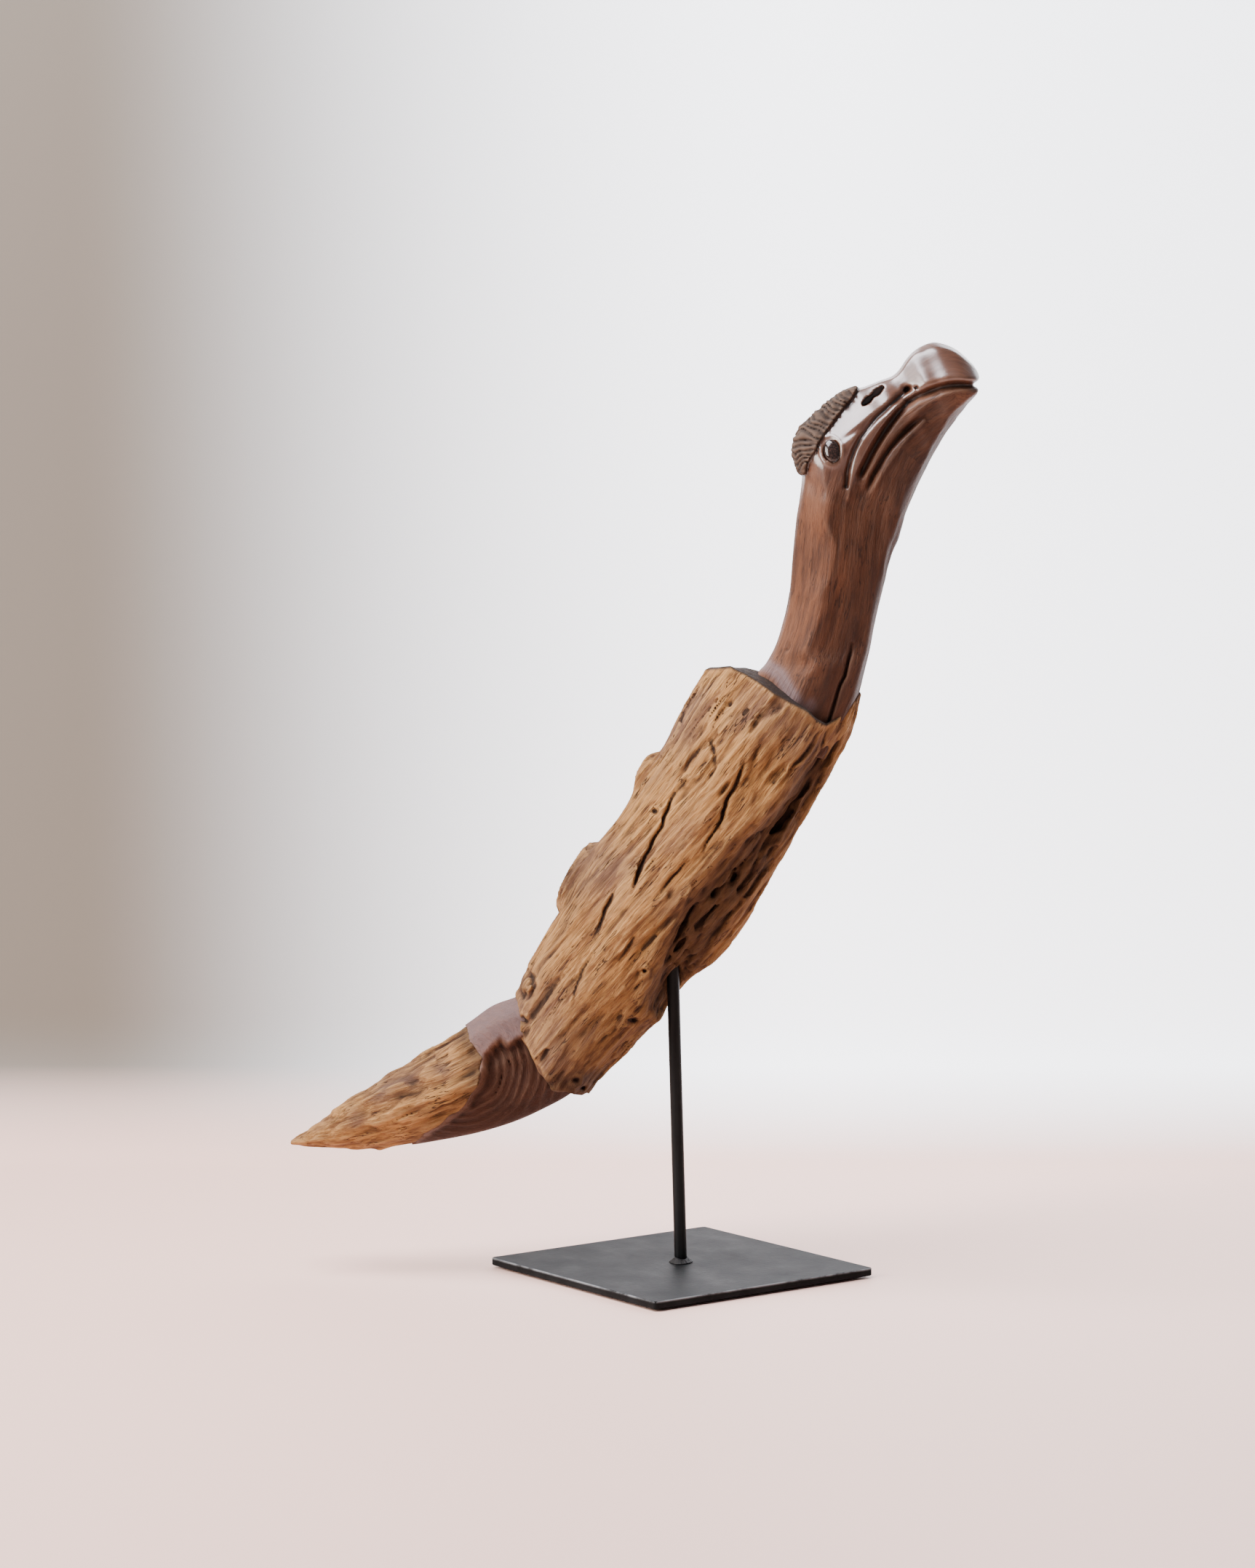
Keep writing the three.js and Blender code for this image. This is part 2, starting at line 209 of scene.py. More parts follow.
def lattice_noise(x, y, z, seed):
    """Smooth noise between about -1 and 1, one lump to each unit of distance."""
    x = x + 37.7 * seed
    y = y + 91.3 * seed
    whole = [np.floor(v).astype(np.int64) for v in (x, y, z)]
    part = [v - w for v, w in zip((x, y, z), whole)]
    ease = [t * t * t * (t * (t * 6 - 15) + 10) for t in part]
    total = np.zeros_like(x)
    for corner in range(8):
        step = (corner & 1, corner >> 1 & 1, corner >> 2 & 1)
        weight = np.ones_like(x)
        key = np.zeros_like(whole[0])
        for i in range(3):
            weight = weight * (ease[i] if step[i] else 1 - ease[i])
            key = key * 1619 + (whole[i] + step[i]) * (31337, 6971, 1013)[i]
        key = (key + seed * 7919) & 0x7FFFFFFF
        key = (key ^ (key >> 13)) * 60493 & 0x7FFFFFFF
        key = (key * (key * key % 65537 * 15731 + 789221) + 1376312589) & 0x7FFFFFFF
        lean = [((key >> shift) & 255) / 127.5 - 1 for shift in (3, 11, 19)]
        reach = [part[i] - step[i] for i in range(3)]
        total += weight * sum(a * b for a, b in zip(lean, reach))
    return total * 1.4


def smooth_step(low, high, value):
    share = np.clip((value - low) / (high - low), 0, 1)
    return share * share * (3 - 2 * share)


def noise(x, y, z, long, wide, seed):
    """Smooth noise with lumps that are long in x and wide in y and z."""
    return lattice_noise(x / long, y / wide, z / wide, seed)


def bell(distance, width):
    return np.exp(-((distance / width) ** 2))


def spot(x, z, px, pz, spread):
    """A round spot, 1 in the middle, seen from the side."""
    return np.exp(-(((x - px) ** 2 + (z - pz) ** 2) / spread))


def line_distance(x, z, line):
    """Distance to a bent line, the length run along it, and a signed distance from it."""
    line = np.array(line, float)
    best = np.full(x.shape, 1e9)
    run = np.zeros(x.shape)
    signed = np.zeros(x.shape)
    start = 0.0
    for (ax, az), (bx, bz) in zip(line[:-1], line[1:]):
        length = math.hypot(bx - ax, bz - az)
        ux, uz = (bx - ax) / length, (bz - az) / length
        along = (x - ax) * ux + (z - az) * uz
        held = np.clip(along, 0, length)
        gap = np.hypot(x - ax - held * ux, z - az - held * uz)
        nearer = gap < best
        best = np.where(nearer, gap, best)
        run = np.where(nearer, start + held, run)
        side = (z - az) * ux - (x - ax) * uz
        signed = np.where(nearer, np.sign(side) * gap, signed)
        start += length
    return best, run, signed


def cut_line(x, z, line, width, depth, fade=6.0):
    """How deep a line carved into a side is at each point. It dies away at both ends."""
    gap, run, _ = line_distance(x, z, line)
    whole = sum(math.dist(a, b) for a, b in zip(line[:-1], line[1:]))
    ends = smooth_step(-0.5, fade, run) * smooth_step(-0.5, fade, whole - run)
    return depth * bell(gap, width) * (0.25 + 0.75 * ends)


def through(values, places):
    """A smooth curve through the rows of values, read at places from 0 to the last row."""
    values = np.array(values, float)
    last = len(values) - 1
    low = np.clip(np.floor(places).astype(int), 0, last - 1)
    t = (places - low)[:, None]
    a, b = values[np.maximum(low - 1, 0)], values[low]
    c, d = values[low + 1], values[np.minimum(low + 2, last)]
    return b + 0.5 * t * (c - a + t * (2 * a - 5 * b + 4 * c - d + t * (3 * (b - c) + d - a)))


def half_section(rows, softness):
    """One side of a cross section, from back (1, 0) to front (-1, 0), its corners rounded."""
    outline = np.vstack([rows, (rows * (1, -1))[::-1][1:-1]])
    outline = np.vstack([outline, outline[:1]])
    steps = np.hypot(*np.diff(outline, axis=0).T)
    length = np.concatenate([[0], np.cumsum(steps)])
    at = np.linspace(0, length[-1], 145)[:-1]
    ring = np.column_stack([np.interp(at, length, outline[:, i]) for i in (0, 1)])
    for _ in range(softness):
        ring = (np.roll(ring, 1, 0) + 2 * ring + np.roll(ring, -1, 0)) / 4
    u, v = ring[:, 0], ring[:, 1]
    u = (u - u.min()) / (u.max() - u.min()) * 2 - 1
    return np.column_stack([u, v / v.max()])


def log_field(stations, voxel, softness=10, spacing=2.0):
    """A distance field of the log through stations: back x, z, front x, z, half depth, and
    the corners of one side of the section. Returns it with the place of its first cell."""
    stations = [np.array(s, float) for s in stations]
    middles = np.array([(s[0:2] + s[2:4]) / 2 for s in stations])
    length = np.hypot(*np.diff(middles, axis=0).T).sum()
    places = np.linspace(0, len(stations) - 1, int(length / spacing))
    rows = through(stations, places)
    rings = []
    for row in rows:
        corners = np.vstack([[1, 0], row[5:].reshape(-1, 2), [-1, 0]])
        shape = half_section(corners, softness)
        back, front = row[0:2], row[2:4]
        middle, half = (back + front) / 2, (back - front) / 2
        flat = middle + shape[:, :1] * half
        rings.append(np.column_stack([flat[:, 0], row[4] * shape[:, 1], flat[:, 1]]))
    sides = len(rings[0])
    points = np.vstack(rings + [[rings[0].mean(0)], [rings[-1].mean(0)]])
    ring, side = np.meshgrid(np.arange(len(rings) - 1), np.arange(sides), indexing="ij")
    a = (ring * sides + side).ravel()
    b = (ring * sides + (side + 1) % sides).ravel()
    quads = np.column_stack([a, a + sides, b + sides, b])
    first, last = len(points) - 2, len(points) - 1
    turn = np.arange(sides)
    low_cap = np.column_stack([np.full(sides, first), turn, (turn + 1) % sides])
    end = (len(rings) - 1) * sides
    high_cap = np.column_stack([np.full(sides, last), end + (turn + 1) % sides, end + turn])
    grid = openvdb.FloatGrid.createLevelSetFromPolygons(
        points.astype(np.float32),
        triangles=np.vstack([low_cap, high_cap]).astype(np.uint32),
        quads=quads.astype(np.uint32),
        transform=openvdb.createLinearTransform(voxelSize=voxel),
        halfWidth=8.0,
    )
    low, high = (np.array(v) for v in grid.evalActiveVoxelBoundingBox())
    low, high = low - 4, high + 5
    field = np.zeros(tuple(high - low), np.float32)
    grid.copyToArray(field, ijk=tuple(int(v) for v in low))
    return field, low


def blurred(field, reach):
    """The field with each cell the mean of those within reach of it."""
    span = 2 * reach + 1
    for axis in range(3):
        field = np.moveaxis(field, axis, 0)
        padded = np.pad(field, ((reach + 1, reach), (0, 0), (0, 0)), mode="edge")
        total = np.cumsum(padded, 0, dtype=np.float32)
        field = np.moveaxis((total[span:] - total[:-span]) / span, 0, axis)
    return field


def read_field(field, cells):
    """The field's value at fractional cell places."""
    whole = np.floor(cells).astype(int)
    whole = np.clip(whole, 0, np.array(field.shape) - 2)
    part = cells - whole
    value = np.zeros(len(cells))
    for corner in range(8):
        step = np.array([corner & 1, corner >> 1 & 1, corner >> 2 & 1])
        weight = np.prod(np.where(step, part, 1 - part), axis=1)
        at = whole + step
        value += weight * field[at[:, 0], at[:, 1], at[:, 2]]
    return value


def skin(name, field, low, voxel, grain, extra):
    """Meshes a field into a piece. It keeps the run of the grain, how hollow each place is,
    and the extra amounts, for the materials."""
    grid = openvdb.FloatGrid(float(field.max()))
    grid.transform = openvdb.createLinearTransform(voxelSize=voxel)
    grid.copyFromArray(field, ijk=tuple(int(v) for v in low), tolerance=0)
    grid.gridClass = openvdb.GridClass.LEVEL_SET
    points, quads = grid.convertToQuads(isovalue=0.0)
    mesh = bpy.data.meshes.new(name)
    mesh.vertices.add(len(points))
    placed = points.astype(np.float64) / 1000 + origin
    mesh.vertices.foreach_set("co", placed.astype(np.float32).ravel())
    mesh.loops.add(quads.size)
    mesh.loops.foreach_set("vertex_index", quads[:, ::-1].ravel().astype(np.int32))
    mesh.polygons.add(len(quads))
    mesh.polygons.foreach_set("loop_start", np.arange(0, quads.size, 4, dtype=np.int32))
    mesh.update(calc_edges=True)
    mesh.validate()
    mesh.polygons.foreach_set("use_smooth", [True] * len(mesh.polygons))
    cells = points / voxel - low
    x, y, z = points.astype(np.float64).T
    small = read_field(blurred(np.clip(field, -3, 3), 2), cells)
    wide = read_field(blurred(np.clip(field, -6, 6), 6), cells)
    amounts = {"hollow": -small, "deep": -wide}
    amounts.update(extra(x, y, z))
    for key, amount in amounts.items():
        layer = mesh.attributes.new(key, "FLOAT", "POINT")
        layer.data.foreach_set("value", np.asarray(amount, np.float32))
    layer = mesh.attributes.new("grain", "FLOAT_VECTOR", "POINT")
    layer.data.foreach_set("vector", np.column_stack(grain(x, y, z)).astype(np.float32).ravel())
    piece = bpy.data.objects.new(name, mesh)
    bpy.context.scene.collection.objects.link(piece)
    return piece


def cell_places(low, voxel, chosen):
    i, j, k = np.nonzero(chosen)
    return (i + low[0]) * voxel, (j + low[1]) * voxel, (k + low[2]) * voxel


def rod_distance(x, y, z):
    """Distance from the rod's line, and height along it above the socket's mouth."""
    height = x * rod_axis[0] + z * rod_axis[2]
    aside = np.hypot(y + mid_plane * 1000, z - height * rod_axis[2])
    return np.hypot(x - height * rod_axis[0], aside), height


# Each row is the log's back x and z, its front x and z, and half its depth. The numbers
# after it are the corners of one side of the section.
body_stations = [
    (*row, 0.80, 0.62, 0.15, 1.0, -0.62, 0.80)
    for row in (
        (40, 232, 122, 190, 38), (27, 209, 118, 172, 41), (16, 190, 112, 152, 43),
        (4, 167, 98, 126, 44), (-8, 146, 83, 99, 44), (-22, 124, 69, 74, 44),
        (-36, 101, 57, 52, 44), (-50, 82, 44, 31, 44), (-64, 58, 27, 10, 44),
        (-76, 36, 8, -6, 43), (-91, 13, -8, -26, 42), (-100, -6, -24, -43, 40),
        (-106, -28, -40, -59, 38), (-114, -52, -56, -78, 36),
    )
]
body_line = [(92, 235), (70, 190), (30, 120), (-20, 45), (-62, -20), (-90, -70)]


def body_grain(x, y, z):
    _, run, off = line_distance(x, z, body_line)
    turn = 0.0035 * run
    return run, off * np.cos(turn) - y * np.sin(turn), off * np.sin(turn) + y * np.cos(turn)


def rough_wood(run, a, b, seed):
    """How far weathered sapwood stands out: lumps, ridges, broken plates and splits."""
    a = a + 1.7 * noise(run, a, b, 30, 15, seed)
    lumps = 2.2 * noise(run, a, b, 55, 22, seed + 1)
    ridge = 1.7 * (0.40 - 2.0 * np.abs(noise(run, a, b, 62, 8, seed + 2)))
    plate = 2.4 * noise(run, a, b, 52, 9, seed + 3) + 0.4 * a / 9
    tread = np.floor(plate * 1.6)
    plate = 1.25 * ((tread + smooth_step(0.6, 1.0, plate * 1.6 - tread)) / 1.6 - plate)
    torn = 0.35 + 1.3 * smooth_step(-0.05, 0.40, noise(run, a, b, 40, 18, seed + 7))
    fibre = 0.75 * noise(run, a, b, 24, 3.4, seed + 4) + 0.5 * noise(run, a, b, 9, 4.2, seed + 8)
    fibre = torn * fibre
    split = np.abs(noise(run, a, b, 95, 6.5, seed + 5))
    where = smooth_step(0.18, 0.42, noise(run, a, b, 20, 14, seed + 6))
    split = 2.4 * bell(split, 0.045) * where
    return lumps + ridge + plate + fibre - split


body_voxel = 1.1
field, low = log_field(body_stations, body_voxel, softness=8)
inside = field < 8.0
x, y, z = cell_places(low, body_voxel, inside)
solid = field[inside].astype(np.float64)
run, a, b = body_grain(x, y, z)
near = smooth_step(6, -10, y)

# lobes on the far shoulder of the log
for place, size in [((-61, 20, 62), (21, 20, 25)), ((-12, 14, 126), (14, 18, 17))]:
    gaps = [(v - c) / s for v, c, s in zip((x, y, z), place, size)]
    lobe = (np.sqrt(sum(g * g for g in gaps)) - 1) * min(size)
    blend = np.clip(0.5 + 0.5 * (solid - lobe) / 9, 0, 1)
    solid = solid * (1 - blend) + lobe * blend - 9 * blend * (1 - blend)


def trimmed(solid, cutter, soft):
    """The solid cut back to a surface, with the edge between them rounded."""
    blend = np.clip(0.5 + 0.5 * (cutter - solid) / soft, 0, 1)
    return solid * (1 - blend) + cutter * blend + soft * blend * (1 - blend)


# the flank that falls away towards the breast, flush with the neck at its top
across = np.array([0.81, 0, -0.586])
up_log = np.array([0.586, 0, 0.81])
facing = 0.62 * across + np.array([0, -0.76, 0]) + 0.13 * up_log
facing /= np.linalg.norm(facing)
flat = (x - 98.5) * facing[0] + (y + 30) * facing[1] + (z - 163) * facing[2]
solid = trimmed(solid, flat, 8)

# ridges, plates and fibres, over a band of cells about the surface
shell = np.abs(solid) < 6.5
bark = np.zeros_like(solid)
bark[shell] = rough_wood(run[shell], a[shell], b[shell], 3)
solid -= bark * smooth_step(-7, -1, solid) * 0.9

# every line below wanders a little from where it is drawn
sway = [1.3 * noise(x, y, z, 8, 8, seed) for seed in (71, 72)]
wx, wz = x + sway[0], z + sway[1]

# the long weathered channel, steep under its upper lip, that ends at the rod
channel = [(108, 166), (99, 154), (93, 144), (85, 128), (70, 106), (54, 86), (38, 65.5), (26, 51),
           (16, 37), (8, 20), (3, 4), (0, -10)]


def channel_side(off, upper, lower):
    """Falls away on both sides of the channel: quickly above it and slowly below it."""
    return bell(off, np.where(off < 0, upper, lower))


_, channel_run, off = line_distance(wx, wz, channel)
off = off + 3.0 * noise(run, a, b, 16, 10, 41)
reach = smooth_step(0, 40, channel_run)
widen = smooth_step(60, 130, channel_run)
hollow = channel_side(off + 2, 4.5 + 8 * widen, 8 + 3 * widen)
lip = 3.2 * bell(off + 12 + 7 * widen, 5.0)
depth = 3.0 + 4.8 * smooth_step(20, 80, channel_run)
torn = 4.2 * noise(run, a, b, 15, 4.6, 42) + 2.2 * np.abs(noise(run, a, b, 9, 3.4, 43))
solid += ((depth + torn) * hollow - lip) * reach * near

# hollows beside the channel, on the breast side
for line, width, deep in [
    ([(99.7, 153), (91.6, 139), (83.5, 122.6), (72.5, 106), (58.4, 88)], 2.6, 2.8),
    ([(94.6, 162.4), (85.6, 151), (74.5, 137), (65.4, 124.6)], 1.5, 2.6),
    ([(106.7, 159), (96.6, 139), (87.6, 118.5), (76, 98)], 2.0, 2.8),
    ([(74, 160), (63, 147), (55, 133), (50, 118)], 1.8, 1.6),
    ([(58.4, 159), (49.3, 141), (47.3, 131)], 1.7, 1.9),
    ([(61, 187), (52, 168), (44, 150)], 2.2, 1.1),
    ([(66, 82), (50, 60), (33, 40), (16, 16)], 2.2, 2.4),
    ([(20, 60), (8, 42), (-2, 22), (-7, 4)], 2.0, 2.6),
]:
    solid += near * cut_line(wx, wz, line, width, deep, 16)

# splits along the grain
for line, width, deep in [
    ([(44.5, 143.6), (39.6, 129), (36.8, 123), (32, 114.8), (28.5, 105), (27.8, 99.5)], 0.95, 4.2),
    ([(37, 127), (30, 106), (18, 84)], 0.8, 2.6),
    ([(1, 120), (-9, 98), (-20, 76), (-27, 57)], 1.0, 4.0),
    ([(9, 80), (0, 70), (-10, 57)], 0.9, 3.0),
    ([(-36, 62), (-44, 44), (-50, 29)], 0.9, 2.8),
    ([(97, 162), (94, 150), (90, 141)], 0.9, 3.0),
    ([(28, 161), (23.5, 153), (25, 146), (26, 138), (21, 126)], 1.2, 1.8),
    ([(-52, 20), (-60, 2), (-64, -14)], 0.8, 2.0),
    ([(-22, 36), (-34, 16)], 0.8, 2.0),
    ([(16, 186), (8, 172), (4, 160)], 0.9, 2.2),
    ([(58, 84), (47, 66), (40, 58)], 0.9, 2.6),
]:
    solid += near * cut_line(wx, wz, line, width, deep, 12)

# knots and worm holes
for px, pz, size, deep in [
    (-26, -24, 2.6, 5), (-18, 9, 1.4, 3), (-11, 109, 1.8, 3), (-62, -62, 1.8, 2.5),
    (-95, -25, 2.4, 4), (-78, -66, 3.0, 3.5), (-58, -70, 2.4, 3),
]:
    solid += near * deep * np.exp(-(((wx - px) ** 2 + (1.6 * (wz - pz)) ** 2) / size**2))
    rim = np.hypot(wx - px, wz - pz) - 1.9 * size
    solid -= near * 0.9 * bell(rim, 0.8 * size)

# a healed knot at the back of the hem, with a furrow round it
knot = np.hypot(wx + 94, 0.85 * (wz + 3)) + 1.6 * noise(x, y, z, 5, 5, 54)
solid += near * (2.2 * bell(knot - 5.6, 1.9) - 2.0 * bell(knot, 3.6))

# the cut round the neck, which dips where sapwood and neck are flush
shoulder = [(-60, 214), (10, 199), (21.4, 199.6), (36, 201), (46, 195.5), (58, 189), (70, 181.5),
            (84, 173.6), (90, 167.5), (96.5, 164), (103, 167), (109, 172), (119, 183), (150, 190)]


def shoulder_height(x, y):
    slopes = (-0.05, 0.07, 0.13, 0.18, 0.18, 0.13, 0.07, 0.0)
    slope = np.interp(x, (38, 46, 55, 63, 70, 75, 80, 95), slopes)
    return np.interp(x, *zip(*shoulder)) + slope * (y + 36)


top = shoulder_height(x, y)
far_top = 198 - 0.34 * (x - 20)
top = np.where(y < 0, top, top + (far_top - top) * smooth_step(0, 24, y))
top = top + 0.7 * noise(x, y, z, 14, 14, 51)
over = (z - top) * 0.85
solid = trimmed(solid, over, 2.5)

# the hem at the tail, chopped to a blunt edge
hem = [(-104, 40), (-101, -12), (-98, -37), (-84, -63), (-79, -71), (-64, -75), (-52, -75),
       (-30, -110)]
_, _, off = line_distance(x, z, hem)
ragged = 1.2 + 2.2 * smooth_step(-48, -66, z)
off = -off + 0.10 * np.abs(y) + ragged * noise(x, y, z, 11, 11, 52)
solid = np.maximum(solid, off * 0.9)

# the rod's socket, broken out wider at its mouth
socket_radius = 4.45
mouth_radius = 7.0
socket_depth = 62
radius, height = rod_distance(x, y, z)
bore = radius - np.clip(mouth_radius - 2.6 * (height + 2) / 10, socket_radius, mouth_radius)
bore = np.maximum(bore, height - socket_depth)
solid = np.maximum(solid, -bore)
beside = x - 1 - height * rod_axis[0]
notch = np.hypot(beside, np.maximum(height + 2.5, 0)) - 5.3
notch = notch + 0.6 * noise(x, y, z, 4, 4, 53)
solid = np.maximum(solid, -np.maximum(notch, y + mid_plane * 1000 - 2))

field[inside] = np.clip(solid, -8.8, 8.8)


def body_extra(x, y, z):
    top = shoulder_height(x, y)
    sawn = smooth_step(2.2, 0.3, top - z) * (y < 10)
    _, channel_run, off = line_distance(x, z, channel)
    widen = smooth_step(60, 130, channel_run)
    # painted shade fills the channel
    stain = channel_side(off, 9 + 9 * widen, 15 + 5 * widen) * smooth_step(8, 45, channel_run)
    stain *= 1.25 * smooth_step(6, -10, y)
    # darker towards the bottom of the hem
    stain += 0.9 * smooth_step(-52, -66, z) * smooth_step(-96, -80, x) * smooth_step(-38, -50, x)
    # painted shade on the far lobe and in the dip of the shoulder cut by the breast; dark spots at
    # a knot and a worm hole
    for px, pz, size in [(-70, 66, 13), (-98, -2, 5), (-97, -26, 4), (118, 178, 7)]:
        stain += 0.7 * spot(x, z, px, pz, size**2)
    # darker towards the bottom of the body
    stain += 0.55 * spot(x, z, -44, -40, 1300)
    stain = np.clip(stain, 0, 1)
    weather = np.zeros_like(x)
    for px, pz, size in [
        (-92, -18, 26), (62, 172, 18), (84, 152, 16), (-50, 72, 22), (-74, -54, 20),
        (4, 160, 14), (14, 178, 10),
    ]:
        weather += spot(x, z, px, pz, size**2)
    weather = np.clip(weather + 0.5 * smooth_step(0, 25, y), 0, 1)
    return {"sawn": sawn, "stain": stain, "weather": weather}


body = skin("body_bark", field, low, body_voxel, body_grain, body_extra)


def mask(tree, name):
    """An amount that the mesh carries at each point."""
    return node(tree, "ShaderNodeAttribute", attribute_name=name).outputs["Fac"]


def tint(tree, colour, other, share, strength=1.0):
    """Turns a colour towards another where share is high, by strength at the most."""
    if strength < 1:
        share = times(tree, share, strength)
    return mix_colour(tree, share, colour, (*other, 1))


def cloud(tree, place, scale, detail, rough_share=0.5):
    """Clouds between 0 and 1. Scale is one number, or one for each axis."""
    if isinstance(scale, tuple):
        place = node(tree, "ShaderNodeMapping", {0: place, 3: scale}).outputs[0]
        scale = 1.0
    values = {"Vector": place, "Scale": scale, "Detail": detail, "Roughness": rough_share}
    return node(tree, "ShaderNodeTexNoise", values).outputs[0]


def lay_finish(tree, surface, colour, roughness, height, strength, depth):
    """Wires a colour, a roughness and a relief of the given depth into the shader."""
    feed(tree, surface.inputs["Base Color"], colour)
    feed(tree, surface.inputs["Roughness"], roughness)
    bumps = {"Strength": strength, "Distance": depth, "Height": height}
    feed(tree, surface.inputs["Normal"], node(tree, "ShaderNodeBump", bumps).outputs[0])


# Streaks that follow the grain, coarse and fine, shared by both kinds of wood.
streaks = bpy.data.node_groups.new("wood_streaks", "ShaderNodeTree")
for name in ("coarse", "fine", "patch", "check"):
    streaks.interface.new_socket(name, in_out="OUTPUT", socket_type="NodeSocketFloat")
grain_vector = node(streaks, "ShaderNodeAttribute", attribute_name="grain").outputs["Vector"]
group_out = node(streaks, "NodeGroupOutput")
for name, scale, detail, rough_share in (
    ("coarse", (0.022, 0.20, 0.20), 5.0, 0.62),
    ("fine", (0.050, 0.55, 0.55), 6.0, 0.70),
    ("patch", (0.018, 0.045, 0.045), 3.0, 0.55),
):
    streak = cloud(streaks, grain_vector, scale, detail, rough_share)
    streaks.links.new(streak, group_out.inputs[name])

# Short thin checks: where one cloud crosses its middle value, and only inside patches.
wander = cloud(streaks, grain_vector, (0.030, 0.30, 0.30), 2.0, 0.55)
moved = {0: grain_vector, 1: (5, 9, 2), 3: (0.050, 0.090, 0.090)}
places = cloud(streaks, node(streaks, "ShaderNodeMapping", moved).outputs[0], 1.0, 1.0)
off_middle = math_node(streaks, "ABSOLUTE", math_node(streaks, "SUBTRACT", wander, 0.5))
thin = ramp(streaks, off_middle, 0.022, 0.006)
thin = times(streaks, thin, ramp(streaks, places, 0.50, 0.60))
streaks.links.new(thin, group_out.inputs["check"])

# The sapwood is golden brown, purplish where it weathered and grey where the log was sawn across.
# Painted shade darkens every split and hollow and the channel, the body is darker towards its hem,
# and a painted highlight lightens the raised places.
sapwood, tree, surface = new_material("sapwood")
coarse, fine, patch, check = node(tree, "ShaderNodeGroup", node_tree=streaks).outputs
hollow = ramp(tree, mask(tree, "hollow"), 0.02, 0.75)
ridge_highlight = ramp(tree, mask(tree, "hollow"), 0.0, -0.45)
deep = ramp(tree, mask(tree, "deep"), 0.1, 2.2)
weather = times(tree, mask(tree, "weather"), 0.6)
patches = times(tree, ramp(tree, patch, 0.50, 0.70), 0.35)
weather = math_node(tree, "ADD", weather, patches, clamp=True)
pale = ramp(tree, coarse, 0.34, 0.62)
colour = mix_colour(tree, pale, (0.210, 0.085, 0.026, 1), (0.500, 0.245, 0.076, 1))
colour = tint(tree, colour, (0.100, 0.042, 0.017), ramp(tree, fine, 0.46, 0.66), 0.65)
colour = tint(tree, colour, (0.640, 0.360, 0.135), ramp(tree, fine, 0.46, 0.34), 0.50)
colour = tint(tree, colour, (0.145, 0.082, 0.060), weather)
# painted highlight on the raised places
colour = tint(tree, colour, (0.620, 0.345, 0.130), ridge_highlight, 0.4)
colour = tint(tree, colour, (0.030, 0.013, 0.007), check, 0.85)
# painted shade along the channel and on shadowed places, with darker marks towards the hem
colour = tint(tree, colour, (0.055, 0.027, 0.016), mask(tree, "stain"), 0.80)
colour = tint(tree, colour, (0.016, 0.011, 0.012), mask(tree, "sawn"), 0.9)
# painted shade in the wide dips and in every hollow
colour = tint(tree, colour, (0.035, 0.016, 0.009), deep, 0.45)
colour = tint(tree, colour, (0.022, 0.010, 0.006), hollow, 0.85)
surface.inputs["Specular IOR Level"].default_value = 0.22
height = math_node(tree, "SUBTRACT", coarse, times(tree, fine, 1.1))
height = math_node(tree, "SUBTRACT", height, times(tree, check, 0.35))
lay_finish(tree, surface, colour, between(tree, fine, 0.3, 0.7, 0.72, 0.95), height, 1.0, 0.0045)

body.data.materials.append(sapwood)
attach(body, "bird")
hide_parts("body_sapwood")

